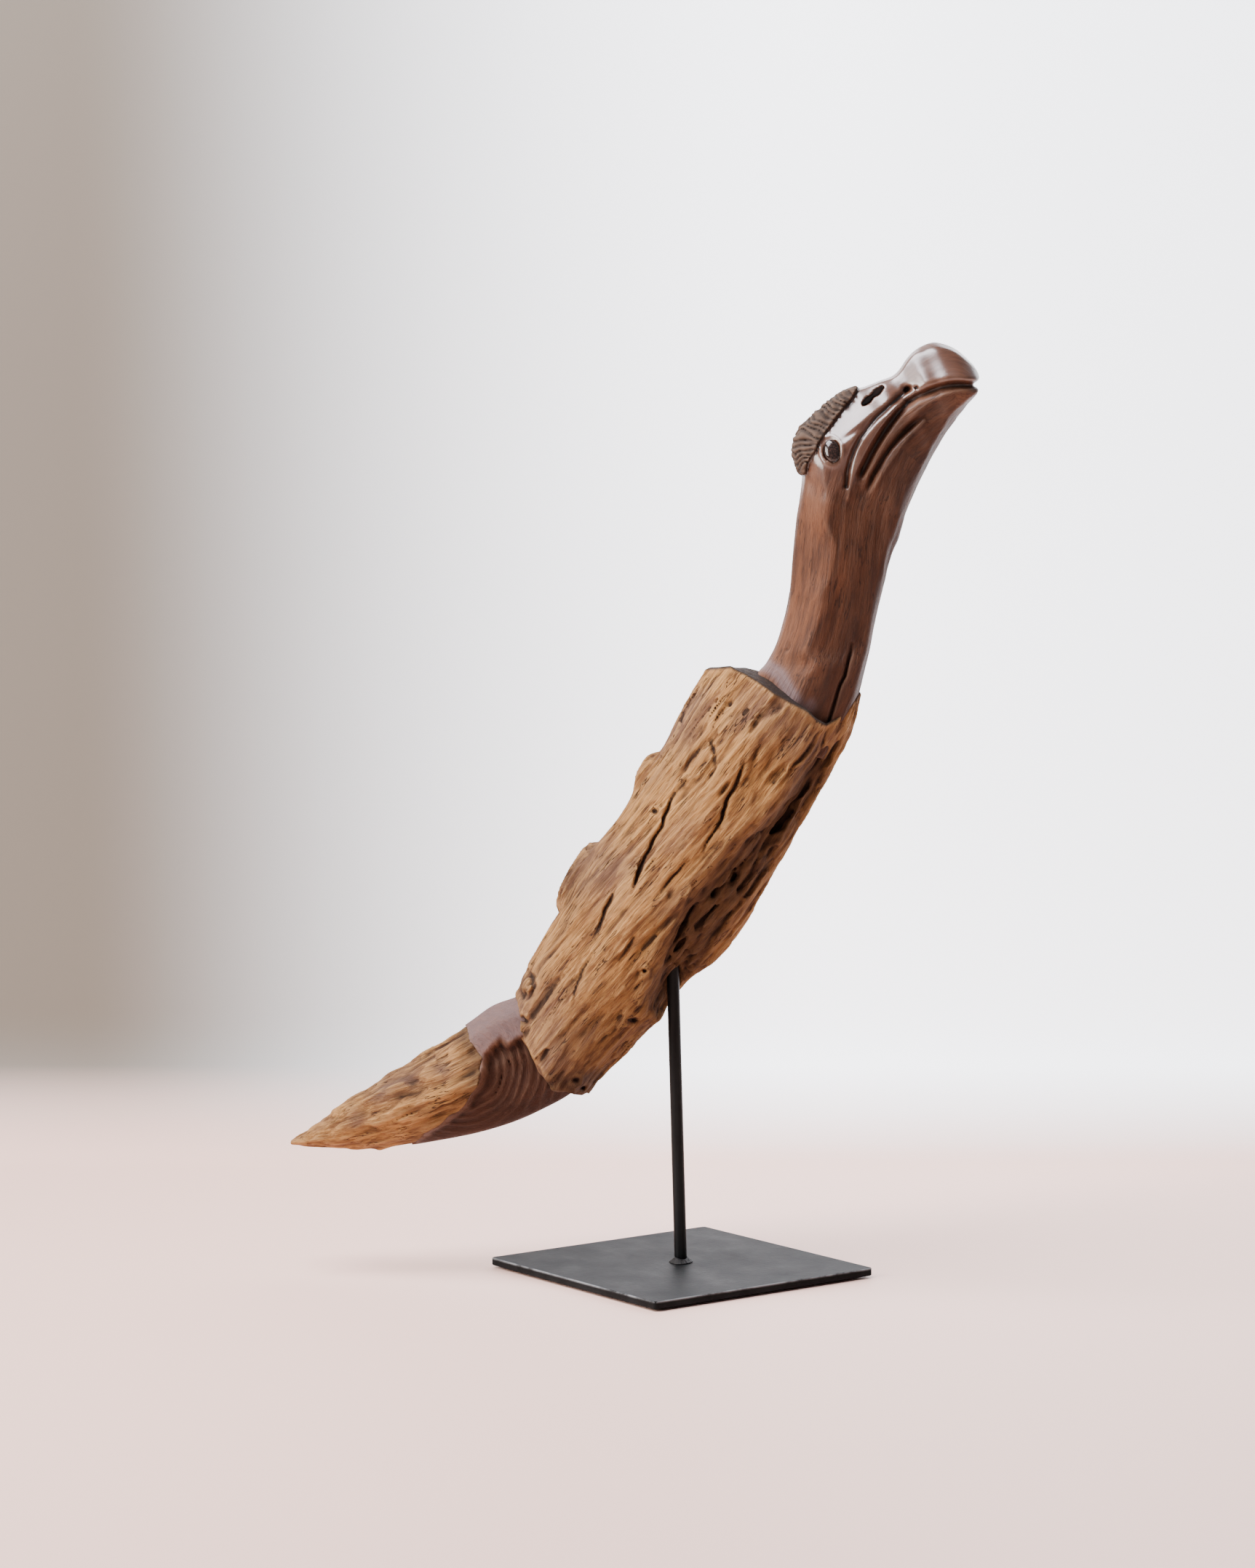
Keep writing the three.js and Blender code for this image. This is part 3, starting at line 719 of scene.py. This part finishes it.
# ------------------------------------------------------------------ head and neck
# Polished heartwood: a flat-sided bill with a bulb on its ridge, folds round the mouth, a
# socket for each eye, a comb on the crown, and long tool facets down the neck.
# Sections: corners at the brow, the widest place and the cheek.
bill = (0.84, 0.40, 0.02, 1.0, -0.74, 0.72)
snout = (0.92, 0.38, 0.18, 1.0, -0.80, 0.66)
face = (0.95, 0.35, 0.42, 1.0, -0.85, 0.60)
nape = (0.96, 0.40, 0.48, 1.0, -0.88, 0.52)
neck = (0.97, 0.35, 0.22, 1.0, -0.90, 0.50)
low_neck = (0.97, 0.35, 0.36, 1.0, -0.90, 0.50)
foot_neck = (0.96, 0.40, 0.10, 1.0, -0.88, 0.55)
head_stations = [
    (*row, *shape)
    for shape, rows in (
        (bill, (
            (193.2, 380.5, 193.7, 374.5, 12), (192.9, 384.5, 191.5, 371, 16.5),
            (190, 389.5, 188.8, 368, 18.6), (184.5, 395, 186, 365, 19.8),
            (178, 400, 183.5, 361.5, 20.3), (171, 403, 181, 358.5, 20.3),
            (164, 404.2, 178.4, 355, 20.3), (157, 402, 175.5, 351.2, 19.6),
        )),
        (snout, (
            (151, 398, 172.8, 347.5, 18.8), (146.5, 393, 170.2, 343.2, 18.2),
            (142.5, 387, 167.8, 339, 18.2), (138, 383, 165.2, 334.6, 18.8),
        )),
        (face, (
            (130, 380, 162.3, 329.2, 20), (121.5, 376.6, 159.4, 323.2, 21.5),
            (112.8, 373.8, 156.2, 316.6, 23), (104.8, 368.8, 153, 309.6, 24.5),
            (96.5, 362, 150, 302.4, 25.5), (88.2, 355, 147.2, 294.8, 26),
        )),
        (nape, (
            (81.6, 347.2, 144.8, 287, 26), (78, 339.5, 142.6, 279.6, 25.5),
            (79, 331.5, 140.4, 275, 25), (81.2, 324, 138.6, 271, 25),
            (81.5, 318, 137.4, 267, 25), (80, 305, 136, 262.5, 24.8),
        )),
        (neck, (
            (78, 290, 135, 258.5, 24.6), (76.5, 275, 134, 254, 24.5),
            (75, 260, 132.7, 249.5, 24.5),
        )),
        (low_neck, (
            (74, 247, 131.4, 243.5, 24.6), (71.8, 233, 129, 232.5, 25),
            (68.5, 221, 126.8, 221, 25.6), (64.5, 210, 125, 211, 26.4),
        )),
        (foot_neck, (
            (59.5, 201, 123, 202, 27.4), (54, 195, 121, 193.5, 28.4), (49, 187, 117, 178, 29.5),
            (42, 174, 108, 158, 30), (34, 160, 98, 140, 29),
        )),
    )
    for row in rows
]
head_line = [(200, 372), (176, 380), (152, 366), (130, 350), (117, 328), (109, 300), (106, 270),
             (103, 240), (97, 215), (88, 190), (70, 150)]


def head_grain(x, y, z):
    _, run, off = line_distance(x, z, head_line)
    return run, off, y


brow = [(104.7, 341.7), (109.9, 345.1), (115, 348.6), (122, 353.8), (132.5, 361.7), (141.2, 369.5),
        (146, 372)]
upper_fold = [(146, 372.5), (139.5, 366.9), (132.5, 360.8), (127.3, 356.5), (122, 350.4),
              (117, 344), (113.4, 337), (110.8, 330), (109, 323), (108.5, 314)]
ridge_one = [(145, 366), (139.5, 362.5), (134, 356.5), (129, 350.4), (124, 343.4), (119.6, 335.6),
             (116, 328.6), (113, 321.6), (110.5, 313.8), (109.6, 306)]
gape = [(196, 377.5), (187.4, 377.3), (181, 377.3), (174, 376.9), (167.4, 375.6), (160.4, 373),
        (153.4, 369.5), (147.3, 366), (142, 360.8), (137, 354.7), (132.6, 348.6), (128.3, 341.7),
        (124.8, 335.6), (121.3, 328.6), (118, 321.6), (116.6, 315.5)]
ridge_two = [(186.6, 374.2), (178.7, 373.4), (172.6, 371.8), (165.7, 369), (158.7, 364.8),
             (152.6, 359.5), (146.5, 353.4), (141.3, 347.4), (136, 340.4), (131, 332.7),
             (125.7, 325.6), (121, 319)]
lower_fold = [(158, 358), (151.8, 353.8), (146.6, 349.5), (141.3, 344.3), (136, 338.2),
              (131.8, 332), (128.3, 326), (125, 320), (122.7, 313.8), (121.8, 308)]
ridge_three = [(158, 354.6), (152.7, 349.6), (147.5, 344), (142.3, 337.6), (138, 331.4),
               (133.6, 325), (129.3, 318), (125.8, 312.6), (122, 307.6)]
comb = [(114.7, 375.6), (109, 371), (103, 366.5), (97.5, 361.5), (92.5, 356), (87.5, 350.5),
        (83.5, 344.5), (81.5, 338.5), (80, 333), (79.6, 328), (80.5, 323.5)]
comb_run = np.cumsum([0] + [math.dist(p, q) for p, q in zip(comb[:-1], comb[1:])])
comb_half = [1.5, 4.2, 5.6, 6.8, 7.6, 8.2, 8.4, 8, 6.4, 4.8, 3.0]
eye_at = (99.0, 336.0)
eye_cos, eye_sin = 0.98, 0.17

head_voxel = 0.85
field, low = log_field(head_stations, head_voxel, softness=5, spacing=1.6)
inside = field < 6.4
x, y, z = cell_places(low, head_voxel, inside)
solid = field[inside].astype(np.float64)
run, off, _ = head_grain(x, y, z)
skin_depth = smooth_step(-6, -0.5, solid)

# tool facets and a hand-worked unevenness
facets = 0.7 * noise(run, off, y, 46, 13, 11) + 0.35 * noise(run, off, y, 20, 8, 12)
facets *= 1 - 0.65 * smooth_step(118, 95, run)
facets += 1.3 * (0.3 - np.abs(noise(run, off, y, 75, 12, 13))) * smooth_step(60, 130, run)
solid -= facets * skin_depth

# folds that run from the mouth down the cheek
carve = 2.8 * bell(line_distance(x, z, upper_fold)[0], 1.9)
carve -= 0.9 * bell(line_distance(x, z, ridge_one)[0], 1.4)
carve += cut_line(x, z, gape, 2.8, 5.4, 10)
carve -= 0.9 * bell(line_distance(x, z, ridge_two)[0], 1.5)
carve += cut_line(x, z, lower_fold, 2.2, 3.8, 12)
carve -= 0.8 * bell(line_distance(x, z, ridge_three)[0], 1.4)
carve += cut_line(x, z, brow, 2.0, 1.0, 10)
solid += carve

# the comb: ribs laid over the crown
gap, comb_at, off = line_distance(x, z, comb)
half = np.interp(comb_at, comb_run, comb_half)
on_comb = smooth_step(1.0, -1.0, gap - half)
rib_pitch = 3.7
beat = (comb_at + 0.45 * off + 4.2 * noise(x, y, z, 11, 11, 14)) / rib_pitch
rib = 1.4 + 2.1 * np.abs(np.cos(math.pi * beat)) ** 0.5 + 1.5 * noise(x, y, z, 6, 6, 15)
solid -= on_comb * rib

# nostril, the dish behind it, worm holes and the pad at the foot of the folds
t = np.clip(((x - 119.6) * 12 + (z - 365.2) * 10.4) / 252.2, 0, 1)
slot_half = 1.1 + 1.0 * np.abs(np.sin(2 * math.pi * (t + 0.02)))
slot = np.hypot(x - 119.6 - 12 * t, z - 365.2 - 10.4 * t) - slot_half
solid = np.maximum(solid, -np.maximum(slot, 5 - np.abs(y)) * 0.9)
solid += 1.6 * spot(x, z, 111.5, 365, 20)
solid += 1.1 * spot(x, z, 118, 310, 14)
near = smooth_step(4, -4, y)
solid += near * 6 * np.exp(-(((x - 147.3) / 2.3) ** 2 + ((z - 374.6) / 1.8) ** 2))
solid += near * 3 * np.exp(-(((x - 152.6) / 1.1) ** 2 + ((z - 375.3) / 1.1) ** 2))

# the drying split in the neck
split = [(112.8, 214), (111.7, 208), (110, 202), (108.2, 194), (105.4, 189), (103.6, 184),
         (102, 178), (100.4, 173), (98, 165), (97, 156)]
solid += near * cut_line(x, z, split, 1.0, 3.6, 14)
solid += near * cut_line(x, z, [(71, 209), (73.5, 211.5), (74, 215)], 1.0, 1.0, 2)

field[inside] = np.clip(solid, -6.6, 6.6)

# sockets for the eyes, as deep as the beads need
bead_y = {}
for side in (-1, 1):
    cell = ((np.array([eye_at[0], 0, eye_at[1]]) / head_voxel) - low).astype(int)
    column = field[cell[0], :, cell[2]]
    rows = np.nonzero(column < 0)[0]
    edge = rows.min() if side < 0 else rows.max()
    bead_y[side] = (edge + low[1]) * head_voxel - side * 0.4
solid = field[inside].astype(np.float64)
for side in (-1, 1):
    ex = (x - eye_at[0]) * eye_cos + (z - eye_at[1]) * eye_sin
    ez = (z - eye_at[1]) * eye_cos - (x - eye_at[0]) * eye_sin
    ey = y - bead_y[side]
    shell = np.sqrt((ex / 5.7) ** 2 + (ez / 8.2) ** 2 + (ey / 4.4) ** 2)
    solid = np.maximum(solid, -(shell - 1) * 4.6)
    ring = np.sqrt((ex / 7.0) ** 2 + (ez / 9.6) ** 2)
    solid -= 0.7 * bell(ring - 1, 0.14) * smooth_step(14, 4, np.abs(ey))
field[inside] = np.clip(solid, -6.6, 6.6)


# where the neck's foot meets the cut sapwood
neck_foot = [(50, 204), (61.4, 198.8), (67, 195), (72.7, 185), (76.9, 179.6), (80.2, 173),
             (82.1, 172.6), (86.8, 176)]


def head_extra(x, y, z):
    gap, comb_at, _ = line_distance(x, z, comb)
    half = np.interp(comb_at, comb_run, comb_half)
    hair = smooth_step(1.2, -0.2, gap - half)
    _, _, foot = line_distance(x, z, neck_foot)
    # a pale painted highlight along the neck's foot
    flare = bell(np.abs(foot) - 1.5, 3.2) * smooth_step(96, 84, x) * smooth_step(10, -10, y)
    _, _, under = line_distance(x, z, gape)
    polish = smooth_step(300, 335, z) * (1 - 0.9 * smooth_step(-3, 4, under))
    _, run, forward = line_distance(x, z, head_line)
    shade = 0.55 * smooth_step(0, 9, forward) * smooth_step(20, 60, run) * smooth_step(12, -4, y)
    return {"hair": hair, "flare": flare, "polish": polish, "shade": shade}


head = skin("head_and_neck", field, low, head_voxel, head_grain, head_extra)

# The heartwood is dark red-brown with orange streaks, waxed on the head, and grey and dull on the
# comb. Painted shade darkens its hollows, the neck's right side and the scoop of the waist; a pale
# painted highlight lies along the neck's foot, the waist above its scoop and the raised places.
heartwood, tree, surface = new_material("heartwood")
coarse, fine, patch, check = node(tree, "ShaderNodeGroup", node_tree=streaks).outputs
hollow = ramp(tree, mask(tree, "hollow"), 0.05, 0.7)
ridge_highlight = ramp(tree, mask(tree, "hollow"), -0.02, -0.5)
polish = mask(tree, "polish")
hair = mask(tree, "hair")
pale = ramp(tree, coarse, 0.30, 0.70)
colour = mix_colour(tree, pale, (0.058, 0.023, 0.012, 1), (0.120, 0.047, 0.022, 1))
colour = tint(tree, colour, (0.190, 0.080, 0.040), ramp(tree, patch, 0.45, 0.68), 0.45)
colour = tint(tree, colour, (0.028, 0.012, 0.008), ramp(tree, fine, 0.48, 0.68), 0.55)
plain = math_node(tree, "SUBTRACT", 1.0, polish)
bare_check = times(tree, check, times(tree, plain, 0.7))
colour = tint(tree, colour, (0.018, 0.008, 0.005), bare_check)
colour = tint(tree, colour, (0.070, 0.027, 0.016), polish, 0.5)
colour = tint(tree, colour, (0.026, 0.010, 0.006), mask(tree, "shade"), 0.75)
# pale painted highlight along the neck's foot and on the waist above its scoop
colour = tint(tree, colour, (0.150, 0.104, 0.104), mask(tree, "flare"), 0.7)
colour = tint(tree, colour, (0.034, 0.024, 0.018), hair, 0.9)
# painted highlight on the raised places
colour = tint(tree, colour, (0.17, 0.10, 0.065), ridge_highlight, 0.25)
# painted shade in every hollow
colour = tint(tree, colour, (0.012, 0.006, 0.004), hollow, 0.85)
shine = between(tree, polish, 0.0, 1.0, 0.58, 0.40)
shine = math_node(tree, "ADD", shine, times(tree, hair, 0.4))
uneven = times(tree, math_node(tree, "SUBTRACT", coarse, 0.5), 0.25)
shine = math_node(tree, "ADD", shine, uneven, clamp=True)
bare = math_node(tree, "SUBTRACT", 1.0, hair, clamp=True)
wax = times(tree, times(tree, polish, bare), 0.95)
tree.links.new(wax, surface.inputs["Coat Weight"])
surface.inputs["Coat Roughness"].default_value = 0.24
surface.inputs["Coat IOR"].default_value = 1.7
surface.inputs["Specular IOR Level"].default_value = 0.18
grooves = math_node(tree, "ADD", times(tree, plain, 0.8), 0.2)
height = math_node(tree, "SUBTRACT", coarse, times(tree, fine, 0.8))
height = times(tree, height, grooves)
lay_finish(tree, surface, colour, shine, height, 0.8, 0.0022)

head.data.materials.append(heartwood)
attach(head, "bird")
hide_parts("heartwood_core")

# ------------------------------------------------------------------ the tail
# Two pieces cut from one form: a waist scooped out with a gouge, down to the dark wood, and
# the rough end, which still carries its sapwood.
tail_stations = [
    (*row, 0.78, 0.70, 0.10, 1.0, -0.70, 0.62)
    for row in (
        (-92, -10, -50, -62, 26), (-103, -14, -66, -76, 28), (-116, -19, -84, -86, 29),
        (-130, -29, -102, -94, 29), (-149, -42, -125, -101, 28.5), (-168, -55, -150, -106, 27),
        (-188, -66, -172, -109.5, 24.5), (-208, -80, -194, -111, 21),
        (-227, -95, -216, -111, 16), (-240, -102.5, -236, -109.5, 9),
        (-246, -105.5, -245, -108, 4),
    )
]
tail_line = [(-60, -30), (-100, -55), (-140, -76), (-180, -90), (-215, -101), (-250, -108)]


def tail_grain(x, y, z):
    _, run, off = line_distance(x, z, tail_line)
    return run, off, y


worked_edge = [(-142, -14), (-134, -29), (-126, -43), (-121, -48), (-124, -65.6), (-133, -79),
               (-148, -91), (-162, -102), (-172, -114)]
scoop_ridge = [(-84, -28), (-100, -36), (-105, -39), (-110, -35), (-120, -46), (-124, -65.6),
               (-133, -79), (-148, -91), (-162, -102), (-172, -114)]
tail_voxel = 0.95
field, low = log_field(tail_stations, tail_voxel, softness=7, spacing=1.8)
inside = field < 7.0
x, y, z = cell_places(low, tail_voxel, inside)
base = field[inside].astype(np.float64)
run, a, b = tail_grain(x, y, z)
_, _, edge = line_distance(x, z, worked_edge)
edge = edge + 1.6 * noise(x, y, z, 9, 9, 61)
_, _, below = line_distance(x, z, scoop_ridge)
below = below + 1.2 * noise(x, y, z, 7, 7, 64)
scoop = smooth_step(-1, 6, below) * (2.2 + 5.0 * bell(below - 13, 15))
scoop = scoop * smooth_step(3, 14, np.abs(y))
gouge_at = (-134, -57)
gouge_pitch = 5.4
swing = np.hypot(x - gouge_at[0], z - gouge_at[1]) + 2.0 * noise(x, y, z, 16, 16, 62)
stroke = 0.6 - np.abs(np.sin(math.pi * swing / gouge_pitch))
stroke = 0.8 * stroke * smooth_step(0, 6, below)
stroke = stroke + 0.3 * lattice_noise(swing / 2.4, y / 9, z / 16, 63)
stroke *= smooth_step(2, 12, np.abs(y))
rough = rough_wood(run, a, b, 23) * 0.85 + 1.7 * noise(run, a, b, 15, 9, 34)
rough -= 3.2 * spot(x, z, -165, -66, 22) + 2.6 * spot(x, z, -197, -84, 20)
half_gap = 0.15
waist = np.maximum(base + scoop - 1.2 * stroke, -(edge + half_gap))
field_waist = field.copy()
field_waist[inside] = np.clip(waist, -7.6, 7.6)
rest = np.maximum(base - rough * smooth_step(-6, -1, base), edge - half_gap)
field_rest = field.copy()
field_rest[inside] = np.clip(rest, -7.6, 7.6)


def tail_extra(x, y, z):
    _, _, edge = line_distance(x, z, worked_edge)
    bleached = 0.35 * smooth_step(-70, -50, z + 0.5 * (x + 150))
    for px, pz, size in [(-168, -62, 12), (-188, -70, 10), (-203, -88, 7), (-147, -57, 6)]:
        bleached += 0.9 * spot(x, z, px, pz, size**2)
    return {
        "sawn": 0.55 * smooth_step(16, 2, -edge) * smooth_step(-78, -58, z + 0.35 * (x + 130)),
        # darker along the edge by the waist
        "stain": 0.4 * smooth_step(10, 1, -edge),
        "weather": bleached,
    }


tail_end = skin("tail_end", field_rest, low, tail_voxel, tail_grain, tail_extra)


def waist_grain(x, y, z):
    px, pz = x - gouge_at[0], z - gouge_at[1]
    return 52 * np.arctan2(pz, px), np.hypot(px, pz), y


def waist_extra(x, y, z):
    plain = np.zeros_like(x)
    _, _, below = line_distance(x, z, scoop_ridge)
    # a pale painted highlight on the waist above its scoop, and painted shade in the scoop
    flare = 0.8 * smooth_step(2, -2, below)
    shade = smooth_step(0, 5, below)
    return {"hair": plain, "flare": flare, "polish": plain, "shade": shade}


tail_waist = skin("tail_waist", field_waist, low, tail_voxel, waist_grain, waist_extra)

tail_end.data.materials.append(sapwood)
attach(tail_end, "bird")
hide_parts("tail_sapwood")
tail_waist.data.materials.append(heartwood)
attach(tail_waist, "bird")
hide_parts("heartwood_core")

# ------------------------------------------------------------------ eyes
# A domed bead in each socket, dark at its rim and nearly black in the middle.
def lathe(name, outline, sides, turn=None, wobble=None):
    """A solid of revolution about Z from (radius, height) pairs, which start and end on the
    axis unless the outline closes on itself."""
    rings = [p for p in outline if p[0] > 1e-9]
    points, faces = [], []
    for radius, height in rings:
        for side in range(sides):
            angle = 2 * math.pi * side / sides
            r, h = wobble(radius, height, angle) if wobble else (radius, height)
            points.append((r * math.cos(angle), r * math.sin(angle), h))
    for ring in range(len(rings) - 1):
        for side in range(sides):
            a, b = ring * sides + side, ring * sides + (side + 1) % sides
            faces.append((a, b, b + sides, a + sides))
    if outline[0][0] <= 1e-9:
        points.append((0, 0, outline[0][1]))
        faces += [(len(points) - 1, (side + 1) % sides, side) for side in range(sides)]
    if outline[-1][0] <= 1e-9:
        points.append((0, 0, outline[-1][1]))
        last = (len(rings) - 1) * sides
        tip = len(points) - 1
        faces += [(tip, last + side, last + (side + 1) % sides) for side in range(sides)]
    if turn is not None:
        points = [turn(Vector(p)) for p in points]
    return add_object(name, points, faces)


eye_wood, tree, surface = new_material("eye_bead")
place = node(tree, "ShaderNodeTexCoord").outputs["Object"]
grit = cloud(tree, place, 900.0, 3.0)
grit_share = ramp(tree, grit, 0.35, 0.7)
colour = mix_colour(tree, grit_share, (0.008, 0.005, 0.004, 1), (0.030, 0.015, 0.012, 1))
lay_finish(tree, surface, colour, between(tree, grit, 0.3, 0.8, 0.06, 0.16), grit, 0.25, 0.0002)

bead_half = (4.8, 7.1)
dome_height = 2.4
for side, name in ((-1, "eye_near"), (1, "eye_far")):
    dome = [(0.0, -dome_height)] + [
        (math.cos(a), dome_height * (math.sin(a) ** 0.9 if a > 0 else math.sin(a)))
        for a in np.radians([-80, -60, -40, -20, 0, 12, 24, 36, 48, 58, 68, 76, 84])
    ] + [(0.0, dome_height)]

    def seat(p, side=side):
        ex, ez, out = p.x * bead_half[0], p.y * bead_half[1], p.z
        px = eye_at[0] + eye_cos * ex - eye_sin * ez
        pz = eye_at[1] + eye_sin * ex + eye_cos * ez
        lean = 0.34 * (0.75 * (pz - eye_at[1]) - 0.60 * (px - eye_at[0]))
        at = np.array([px, bead_y[side] + side * (out + 0.9 - lean), pz])
        return tuple(at / 1000 + origin)

    bead = lathe(name + "_bead", dome, 40, seat)
    if side > 0:
        bead.data.flip_normals()
    bead.data.materials.append(eye_wood)
    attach(bead, "bird")
    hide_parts(name)

# ------------------------------------------------------------------ the stand
# Black steel: a square plate worn bright along its edges, a straight round rod, and the
# welded fillet between them.
plate_half = 0.0875
plate_turn = math.radians(-37)
steel, tree, surface = new_material("plate_steel")
place = node(tree, "ShaderNodeTexCoord").outputs["Object"]
turning = {"Vector": place, "Angle": plate_turn}
turned = node(tree, "ShaderNodeVectorRotate", turning, rotation_type="Z_AXIS").outputs[0]
parts = node(tree, "ShaderNodeSeparateXYZ", {0: turned})
from_x = math_node(tree, "ABSOLUTE", parts.outputs[0])
from_y = math_node(tree, "ABSOLUTE", parts.outputs[1])
edge = math_node(tree, "MAXIMUM", from_x, from_y)
dapple = cloud(tree, turned, 38.0, 6.0, 0.62)
speck = cloud(tree, turned, 420.0, 4.0, 0.6)
worn = ramp(tree, edge, plate_half - 0.0007, plate_half - 0.0002)
worn = times(tree, worn, ramp(tree, parts.outputs[2], 0.0048, 0.0064))
worn = times(tree, worn, ramp(tree, dapple, 0.30, 0.60))
lighter = ramp(tree, dapple, 0.35, 0.7)
colour = mix_colour(tree, lighter, (0.005, 0.0053, 0.0056, 1), (0.011, 0.0117, 0.0124, 1))
colour = tint(tree, colour, (0.26, 0.27, 0.28), worn, 0.8)
surface.inputs["Specular IOR Level"].default_value = 0.05
gloss = between(tree, dapple, 0.3, 0.75, 0.48, 0.62)
lay_finish(tree, surface, colour, gloss, speck, 0.35, 0.0003)
plate = frame["nodes"]["base_plate"]
plate.data.materials.clear()
plate.data.materials.append(steel)

rod_steel, tree, surface = new_material("rod_steel")
place = node(tree, "ShaderNodeTexCoord").outputs["Object"]
drawn = cloud(tree, place, (300, 300, 14), 5.0, 0.6)
lighter = ramp(tree, drawn, 0.3, 0.75)
colour = mix_colour(tree, lighter, (0.004, 0.0045, 0.005, 1), (0.011, 0.012, 0.012, 1))
surface.inputs["Specular IOR Level"].default_value = 0.10
gloss = between(tree, drawn, 0.3, 0.75, 0.34, 0.52)
lay_finish(tree, surface, colour, gloss, drawn, 0.4, 0.0003)

plate_top = swivel["pos_m"][2]
rod_length = (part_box("support_rod")[1].z - plate_top) / rod_axis[2] - 0.0004
rod_turn = Vector((0, 0, 1)).rotation_difference(Vector(rod_axis))


def along_rod(p):
    return tuple(rod_turn @ p + Vector((0, 0, plate_top)))


radius = 0.004
steps = np.linspace(0.0006, rod_length - 0.0006, 40)
outline = [(0, 0.0003), (radius - 0.0003, 0.0003)] + [(radius, h) for h in steps]
outline += [(radius - 0.0005, rod_length), (0, rod_length)]
rod = lathe("rod", outline, 48, along_rod)
rod.data.materials.append(rod_steel)
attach(rod, "stand")
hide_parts("support_rod")


def weld_wobble(r, h, angle):
    ripple = 0.00016 * math.sin(19 * angle) + 0.00012 * math.sin(7 * angle + 1)
    swell = 1 + (h / 0.0035) * 0.2 * math.sin(2 * angle + 0.6)
    outer = smooth_step(0.0043, 0.0060, r)
    return r + outer * (ripple + 0.0004 * math.sin(3 * angle)), h * swell + outer * ripple * 0.5


inner = radius + 0.00012
outline = [(inner + out, up) for out, up in (
    (0, 0.0002), (0.0034, 0.0002), (0.0031, 0.0007), (0.0022, 0.0013),
    (0.0013, 0.0021), (0.0005, 0.0031), (0, 0.0034), (0, 0.0002),
)]
weld = lathe("weld", outline, 72, along_rod, weld_wobble)
weld_steel, tree, surface = new_material("weld_steel")
place = node(tree, "ShaderNodeTexCoord").outputs["Object"]
scale_marks = cloud(tree, place, 620.0, 5.0, 0.65)
lighter = ramp(tree, scale_marks, 0.35, 0.7)
colour = mix_colour(tree, lighter, (0.006, 0.006, 0.007, 1), (0.024, 0.022, 0.021, 1))
surface.inputs["Specular IOR Level"].default_value = 0.2
gloss = between(tree, scale_marks, 0.3, 0.75, 0.36, 0.70)
lay_finish(tree, surface, colour, gloss, scale_marks, 0.7, 0.0004)
weld.data.materials.append(weld_steel)
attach(weld, "stand")
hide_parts("foot_weld")

felt, tree, surface = new_material("felt")
place = node(tree, "ShaderNodeTexCoord").outputs["Object"]
fuzz = cloud(tree, place, 1400.0, 3.0)
colour = mix_colour(tree, fuzz, (0.018, 0.018, 0.018, 1), (0.055, 0.053, 0.050, 1))
lay_finish(tree, surface, colour, 1.0, fuzz, 0.6, 0.0004)
felt_sheet = frame["nodes"]["felt_sheet"]
felt_sheet.data.materials.clear()
felt_sheet.data.materials.append(felt)
